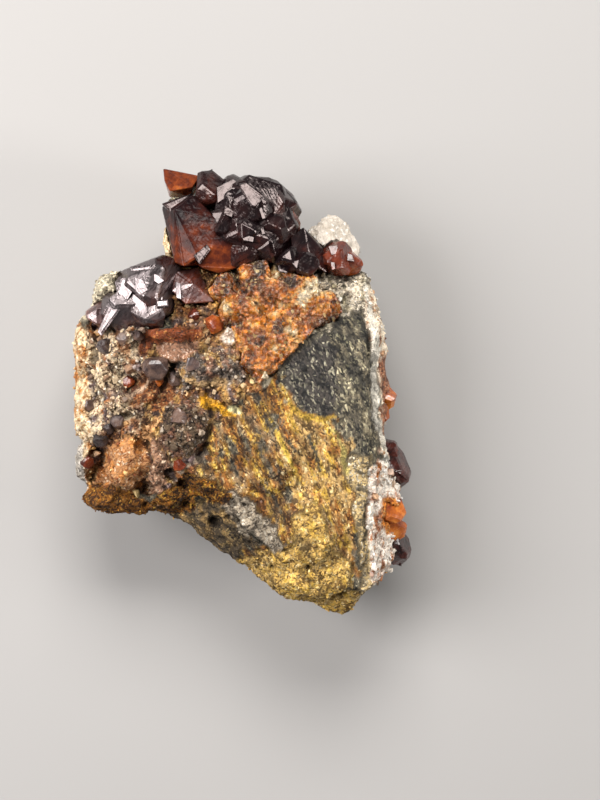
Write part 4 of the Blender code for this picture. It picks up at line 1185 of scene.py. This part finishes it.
RED_STOPS = [
    (0.0, (0.012, 0.005, 0.005)), (0.3, (0.080, 0.016, 0.010)), (0.55, (0.22, 0.042, 0.016)),
    (0.8, (0.56, 0.150, 0.022)), (1.0, (0.86, 0.33, 0.060)),
]
red_blende = blende_finish("red_blende", RED_STOPS, 0.12, 0.36, 1.1, IOR=1.62)
add_piece("side", cluster("side", SIDE, [], 300, SIDE_PLATES), red_blende, "side_crystal")
add_piece(
    "flank_upper", cluster("flank_upper", FLANK_UPPER, [], 310), red_blende,
    "flank_crystals_upper",
)
add_piece(
    "flank_lower", cluster("flank_lower", FLANK_LOWER, [], 320), red_blende,
    "flank_crystals_lower",
)
add_piece("edge", cluster("edge", EDGE, [], 330), red_blende, "edge_crystal")


# Single crystals and beads. Small sphalerite crystals and glassy beads scattered over the rock, from
# near-black to clear orange, each grown into the crust by its lower half.
# Place on the face, size and glow
CLEAR_BEADS = [
    (-5.4, 13.7, 1.9, 0.62), (-16.3, 2.2, 0.9, 0.80), (-22.4, 2.3, 1.3, 0.60), (-31.0, -13.7, 1.4, 0.34),
    (-12.2, -14.2, 1.3, 0.52), (-9.4, 15.6, 1.2, 0.30),
]
SMOKY_BEADS = [
    (-16.9, 5.0, 2.6, 0.36), (-13.2, 2.8, 1.6, 0.50), (-28.0, -9.2, 1.6, 0.05), (-26.4, -6.9, 1.2, 0.15),
    (-27.0, 9.4, 1.8, 0.20), (-20.4, 11.6, 1.4, 0.35), (-30.7, -2.4, 1.3, 0.45), (-24.6, -5.6, 1.6, 0.30),
    (-21.8, 5.2, 1.4, 0.60), (-23.6, 10.8, 1.3, 0.50), (-9.6, 5.6, 1.5, 0.40), (-12.2, -4.6, 1.7, 0.45),
]
BEAD_LIFT = 0.5
BEAD_SUNK = 0.3
SMOKY_STOPS = [
    (0.0, (0.014, 0.011, 0.011)), (0.3, (0.060, 0.040, 0.038)), (0.6, (0.19, 0.120, 0.092)),
    (1.0, (0.46, 0.27, 0.15)),
]

rock_top = BVHTree.FromPolygons(places.tolist(), [poly.vertices[:] for poly in rock_mesh.polygons])
chance = random.Random(19)
for name, listed, finish in (
    ("clear_beads", CLEAR_BEADS, red_blende),
    ("smoky_beads", SMOKY_BEADS, blende_finish("smoky_blende", SMOKY_STOPS, 0.16, 0.5, 1.2, IOR=1.6)),
):
    beads = []
    for x, y, size, glows in listed:
        centre = (x, y, surface_height(rock_top, x, y) + BEAD_LIFT - BEAD_SUNK * size)
        beads.append((centre, size, [chance.uniform(0, 360) for _ in range(3)], glows))
    add_piece(name, cluster(name, beads, [], 600), finish)


# Quartz. A hump of milky, sugary quartz behind the side crystal, grown on the upper right of the rock.
QUARTZ_CELL = 0.35

quartz_finish, tree, shader, where = new_material("milky_quartz", IOR=1.54)
sugar = place_group(tree, mineral_grain, Vector=where, Grains_per_metre=1700.0)
cloud = cloudy(tree, where, 500.0, 4.0)
milk = blend(tree, rise(tree, cloud, 0.35, 0.7), (0.76, 0.69, 0.60), (0.46, 0.40, 0.32))
milk = blend(tree, rise(tree, sugar["Chance"], 0.85, 0.9), milk, (0.90, 0.87, 0.80))
dull = rise(tree, sugar["Other chance"], 0.0, 1.0, 0.25, 0.75)
dress(tree, shader, milk, dull, 0.8, 0.0003, sugar["Height"])

quartz_mesh = even_skin("quartz_knob", QUARTZ_CELL * MM)
quartz_places, quartz_normals = read_points(quartz_mesh)
sugary = 0.35 * broken_grains(quartz_places, 1.5, 81)[0] + 0.3 * roughened(quartz_places, 3.0, 87)
sugary += 0.3 * (rounded_grains(quartz_places, 0.8, 84) - 0.4)
quartz_places += quartz_normals * sugary[:, None]
write_points(quartz_mesh, quartz_places)
quartz_mesh.shade_smooth()
add_piece("quartz", quartz_mesh, quartz_finish, "quartz_knob")


# Amber patch. Massive, granular blende of orange to brown below the crown, full of small cleavage faces.
# It fills the hollow between the crown and the slate.
AMBER_CELL = 0.33
LARGE_GRAIN = 3.0
SMALL_GRAIN = 1.25
CRINKLE_SIZE = (2.0, 1.1)
LARGE_RELIEF = 0.60
SMALL_RELIEF = 0.30
CRINKLE_RELIEF = 0.30
AMBER_LIGHT = 0.95
AMBER_CREASE_SHADE = 0.65
AMBER_RIDGE_LIGHT = 0.40
AMBER_SHADES = (0.15, 1.35)
SHARP_BEND = math.radians(28)
LOOSE_ABOVE = 24
LOOSE_COUNT = 90
LOOSE_SIZE = 0.44
LOOSE_SHIFTS = (-1.6, 1.8)
AMBER_TONES = [
    (0.045, 0.018, 0.009), (0.120, 0.036, 0.010), (0.28, 0.066, 0.008), (0.50, 0.130, 0.009),
    (0.74, 0.250, 0.014), (0.74, 0.420, 0.14), (0.88, 0.720, 0.48),
]
GLOW_SPOTS = [(3.2, 15.8, 2.8, 0.16), (-4.0, 22.0, 3.0, 0.06), (9.2, 16.6, 1.8, 0.14)]
DARK_SPOTS = [
    (2.8, 25.6, 3.4, 0.40), (9.4, 22.4, 2.2, 0.40), (-3.4, 20.6, 1.8, 0.16), (2.2, 8.4, 2.6, 0.06),
]
CREAM_SPOTS = [
    (12.6, 19.6, 3.4, 0.42), (6.2, 9.0, 1.5, 0.46), (17.4, 20.4, 2.8, 0.50), (7.0, 25.0, 2.2, 0.66),
    (9.4, 12.2, 1.6, 0.20), (1.2, 24.4, 1.6, 0.36), (-2.6, 17.0, 1.6, 0.20), (4.8, 4.0, 0.7, 0.30),
]

# The glassy wedge that runs down to a tip, and the web from it to the right: their corners
AMBER_WEDGES = [
    [(-1.8, 13.2, 33.4), (3.0, 1.6, 33.7), (7.6, 5.9, 34.0), (11.2, 9.4, 33.9), (9.2, 14.0, 35.2),
     (3.2, 13.2, 35.8), (3.2, 7.4, 35.5), (-1.2, 12.6, 28.0), (3.0, 2.6, 29.0), (10.6, 9.8, 29.0),
     (8.6, 13.6, 28.0)],
    [(7.0, 12.4, 34.9), (11.2, 9.6, 33.9), (14.2, 12.4, 33.4), (18.6, 17.2, 31.6), (15.8, 19.4, 32.4),
     (10.4, 16.6, 34.6), (8.0, 13.0, 27.0), (11.0, 10.4, 28.0), (14.0, 12.9, 27.0), (18.0, 17.2, 26.0),
     (15.4, 19.0, 26.0)],
]


def amber_tone(places, shift):
    """The tone number of each place: brown, orange or cream in patches, changed a little by shift."""
    tone = 2.4 + 3.2 * roughened(places, 3.4, 91, 4) + shift
    for spots, change in ((GLOW_SPOTS, 5.0), (DARK_SPOTS, -9.0), (CREAM_SPOTS, 8.0)):
        for x, y, radius, strength in spots:
            away = np.hypot(places[:, 0] - x, places[:, 1] - y) / radius
            tone += change * strength * np.exp(-away * away)
    return np.clip(tone, 0, len(AMBER_TONES) - 1)


def amber_colour(tone):
    """The colour of a tone number, mixed from the two tones next to it."""
    below = np.minimum(tone.astype(int), len(AMBER_TONES) - 2)
    share = (tone - below)[:, None]
    table = np.array(AMBER_TONES)
    return table[below] * (1 - share) + table[below + 1] * share


amber_mesh = even_skin("amber_mass", AMBER_CELL * MM, AMBER_WEDGES)
amber_places, amber_normals = read_points(amber_mesh)
large, large_chance = broken_grains(amber_places, LARGE_GRAIN, 101)
small, small_chance = broken_grains(amber_places, SMALL_GRAIN, 121)
ridges = 1 - 2 * np.abs(roughened(drawn_out(amber_places, *CRINKLE_SIZE), 1.0, 125, 3))
amber_depth = LARGE_RELIEF * large + SMALL_RELIEF * small + CRINKLE_RELIEF * ridges
amber_places += amber_normals * amber_depth[:, None]
write_points(amber_mesh, amber_places)
amber_places, amber_normals = read_points(amber_mesh)
# Painted shade and light: the amber's colours are darkened in its creases and lightened on its ridges.
creases = hollowness(amber_mesh, amber_places, amber_normals, 2)
tone = amber_tone(amber_places, 2.0 * (large_chance - 0.5) + 2.4 * (small_chance - 0.5))
shade = AMBER_LIGHT - AMBER_CREASE_SHADE * np.clip(creases, 0, 1) + AMBER_RIDGE_LIGHT * np.clip(-creases, 0, 1)
shade = np.clip(shade, *AMBER_SHADES)
write_colour(amber_mesh, "tone", amber_colour(tone) * shade[:, None])
amber_mesh.shade_smooth()
amber_mesh.set_sharp_from_angle(angle=SHARP_BEND)

amber_finish, tree, shader, where = new_material("amber_blende", IOR=1.85)
chips = place_group(tree, mineral_grain, Vector=where, Grains_per_metre=1500.0)
cloud = cloudy(tree, where, 1300.0, 4.0, 0.65)
crinkle = cloudy(tree, where, 780.0, 5.0, 0.6, 1.2)
brightness = rise(tree, cloud, 0.3, 0.7, 0.50, 1.45)
brightness = calculate(tree, "MULTIPLY", brightness, rise(tree, chips["Chance"], 0.0, 1.0, 0.82, 1.18))
colour = dimmed(tree, kept(tree, "tone"), brightness)
# Painted shade: thin dark lines where the chips meet, which are grooves in the relief too.
shaded_gaps = thin_lines(tree, cloud, 0.46, 0.032)
colour = blend(tree, calculate(tree, "MULTIPLY", shaded_gaps, 0.7), colour, (0.060, 0.016, 0.006))
# Painted highlight: pale lines along the crinkled ridges, which stand out in the relief too.
ridge_highlight = thin_lines(tree, crinkle, 0.52, 0.028)
ridge_highlight = calculate(tree, "MULTIPLY", ridge_highlight, rise(tree, cloud, 0.42, 0.56))
colour = blend(tree, calculate(tree, "MULTIPLY", ridge_highlight, 0.75), colour, (0.95, 0.74, 0.42))
# Painted glints: a few chips take a pale gold colour.
colour = blend(tree, rise(tree, chips["Other chance"], 0.94, 0.97, 0.0, 0.7), colour, (0.90, 0.66, 0.30))
relief = calculate(tree, "MULTIPLY", chips["Facet"], 5.0)
relief = calculate(tree, "MULTIPLY_ADD", cloud, 1.2, relief)
relief = calculate(tree, "MULTIPLY_ADD", calculate(tree, "SUBTRACT", ridge_highlight, shaded_gaps), 0.35, relief)
dress(tree, shader, colour, rise(tree, cloud, 0.4, 0.6, 0.07, 0.28), 1.0, 0.00028, relief)
add_piece("amber", amber_mesh, amber_finish, "amber_mass")

showing = ((amber_normals[:, 2] > -0.1) & (amber_places[:, 2] > LOOSE_ABOVE)).astype(float)
seats, sizes, picked = seats_on(amber_places, amber_normals, showing, LOOSE_COUNT, LOOSE_SIZE, 71)
pick = np.random.default_rng(72)
shades = amber_colour(amber_tone(amber_places[picked], pick.uniform(*LOOSE_SHIFTS, len(picked))))
add_piece(
    "amber_grains", grain_mesh("amber_grains", seats, sizes, shades, 73), amber_finish
)


# Studio. A pale table, soft lights above the head and at the left of the stone, and a camera that looks
# straight down at the face that shows.
TABLE_HALF = 2.0
LOOK_LEVEL = 24.0
CAMERA_REACH = 620.0
FRAME_HEIGHT = 160.0
FRAME_MIDDLE = (11.64, -1.44)
SENSOR = 36.0

floor_mesh = bpy.data.meshes.new("table_top")
corners = [(x * TABLE_HALF, y * TABLE_HALF, 0) for x, y in ((-1, -1), (1, -1), (1, 1), (-1, 1))]
floor_mesh.from_pydata(corners, [], [(0, 1, 2, 3)])
table_finish, tree, shader, where = new_material("table_top", Roughness=0.7, Specular_IOR_Level=0.3)
mottle = cloudy(tree, where, 6.0, 2.0)
tree.links.new(blend(tree, mottle, (0.41, 0.405, 0.40), (0.43, 0.425, 0.42)), shader["Base Color"])
floor_mesh.materials.append(table_finish)
floor = bpy.data.objects.new("table_top", floor_mesh)
bpy.context.scene.collection.objects.link(floor)

world = bpy.data.worlds.new("studio")
world.use_nodes = True
world.node_tree.nodes["Background"].inputs["Color"].default_value = (1.0, 0.98, 0.97, 1.0)
world.node_tree.nodes["Background"].inputs["Strength"].default_value = 0.15
bpy.context.scene.world = world


def soft_light(name, towards, distance, size, power, colour):
    """A rectangular soft light that faces the stone from a direction."""
    data = bpy.data.lights.new(name, "AREA")
    data.shape = "RECTANGLE"
    data.size, data.size_y = size
    data.energy = power
    data.color = colour
    light = bpy.data.objects.new(name, data)
    direction = Vector(towards).normalized()
    light.location = direction * distance + Vector((0, 0, 0.02))
    light.rotation_euler = direction.to_track_quat("Z", "Y").to_euler()
    bpy.context.scene.collection.objects.link(light)


soft_light("head_light", (0.0, 0.68, 0.73), 0.55, (0.34, 0.26), 3.3, (1.0, 0.96, 0.92))
soft_light("left_light", (-0.75, 0.10, 0.68), 0.55, (0.30, 0.38), 3.5, (1.0, 0.96, 0.94))
soft_light("right_light", (0.95, -0.1, 0.42), 0.6, (0.12, 0.30), 1.7, (1.0, 0.96, 0.92))

camera_data = bpy.data.cameras.new("camera")
camera_data.sensor_width = SENSOR
camera_data.lens = SENSOR * CAMERA_REACH / FRAME_HEIGHT
camera = bpy.data.objects.new("camera", camera_data)
camera.location = (FRAME_MIDDLE[0] * MM, FRAME_MIDDLE[1] * MM, (LOOK_LEVEL + CAMERA_REACH) * MM)
bpy.context.scene.collection.objects.link(camera)
bpy.context.scene.camera = camera
bpy.context.scene.view_settings.view_transform = "Standard"
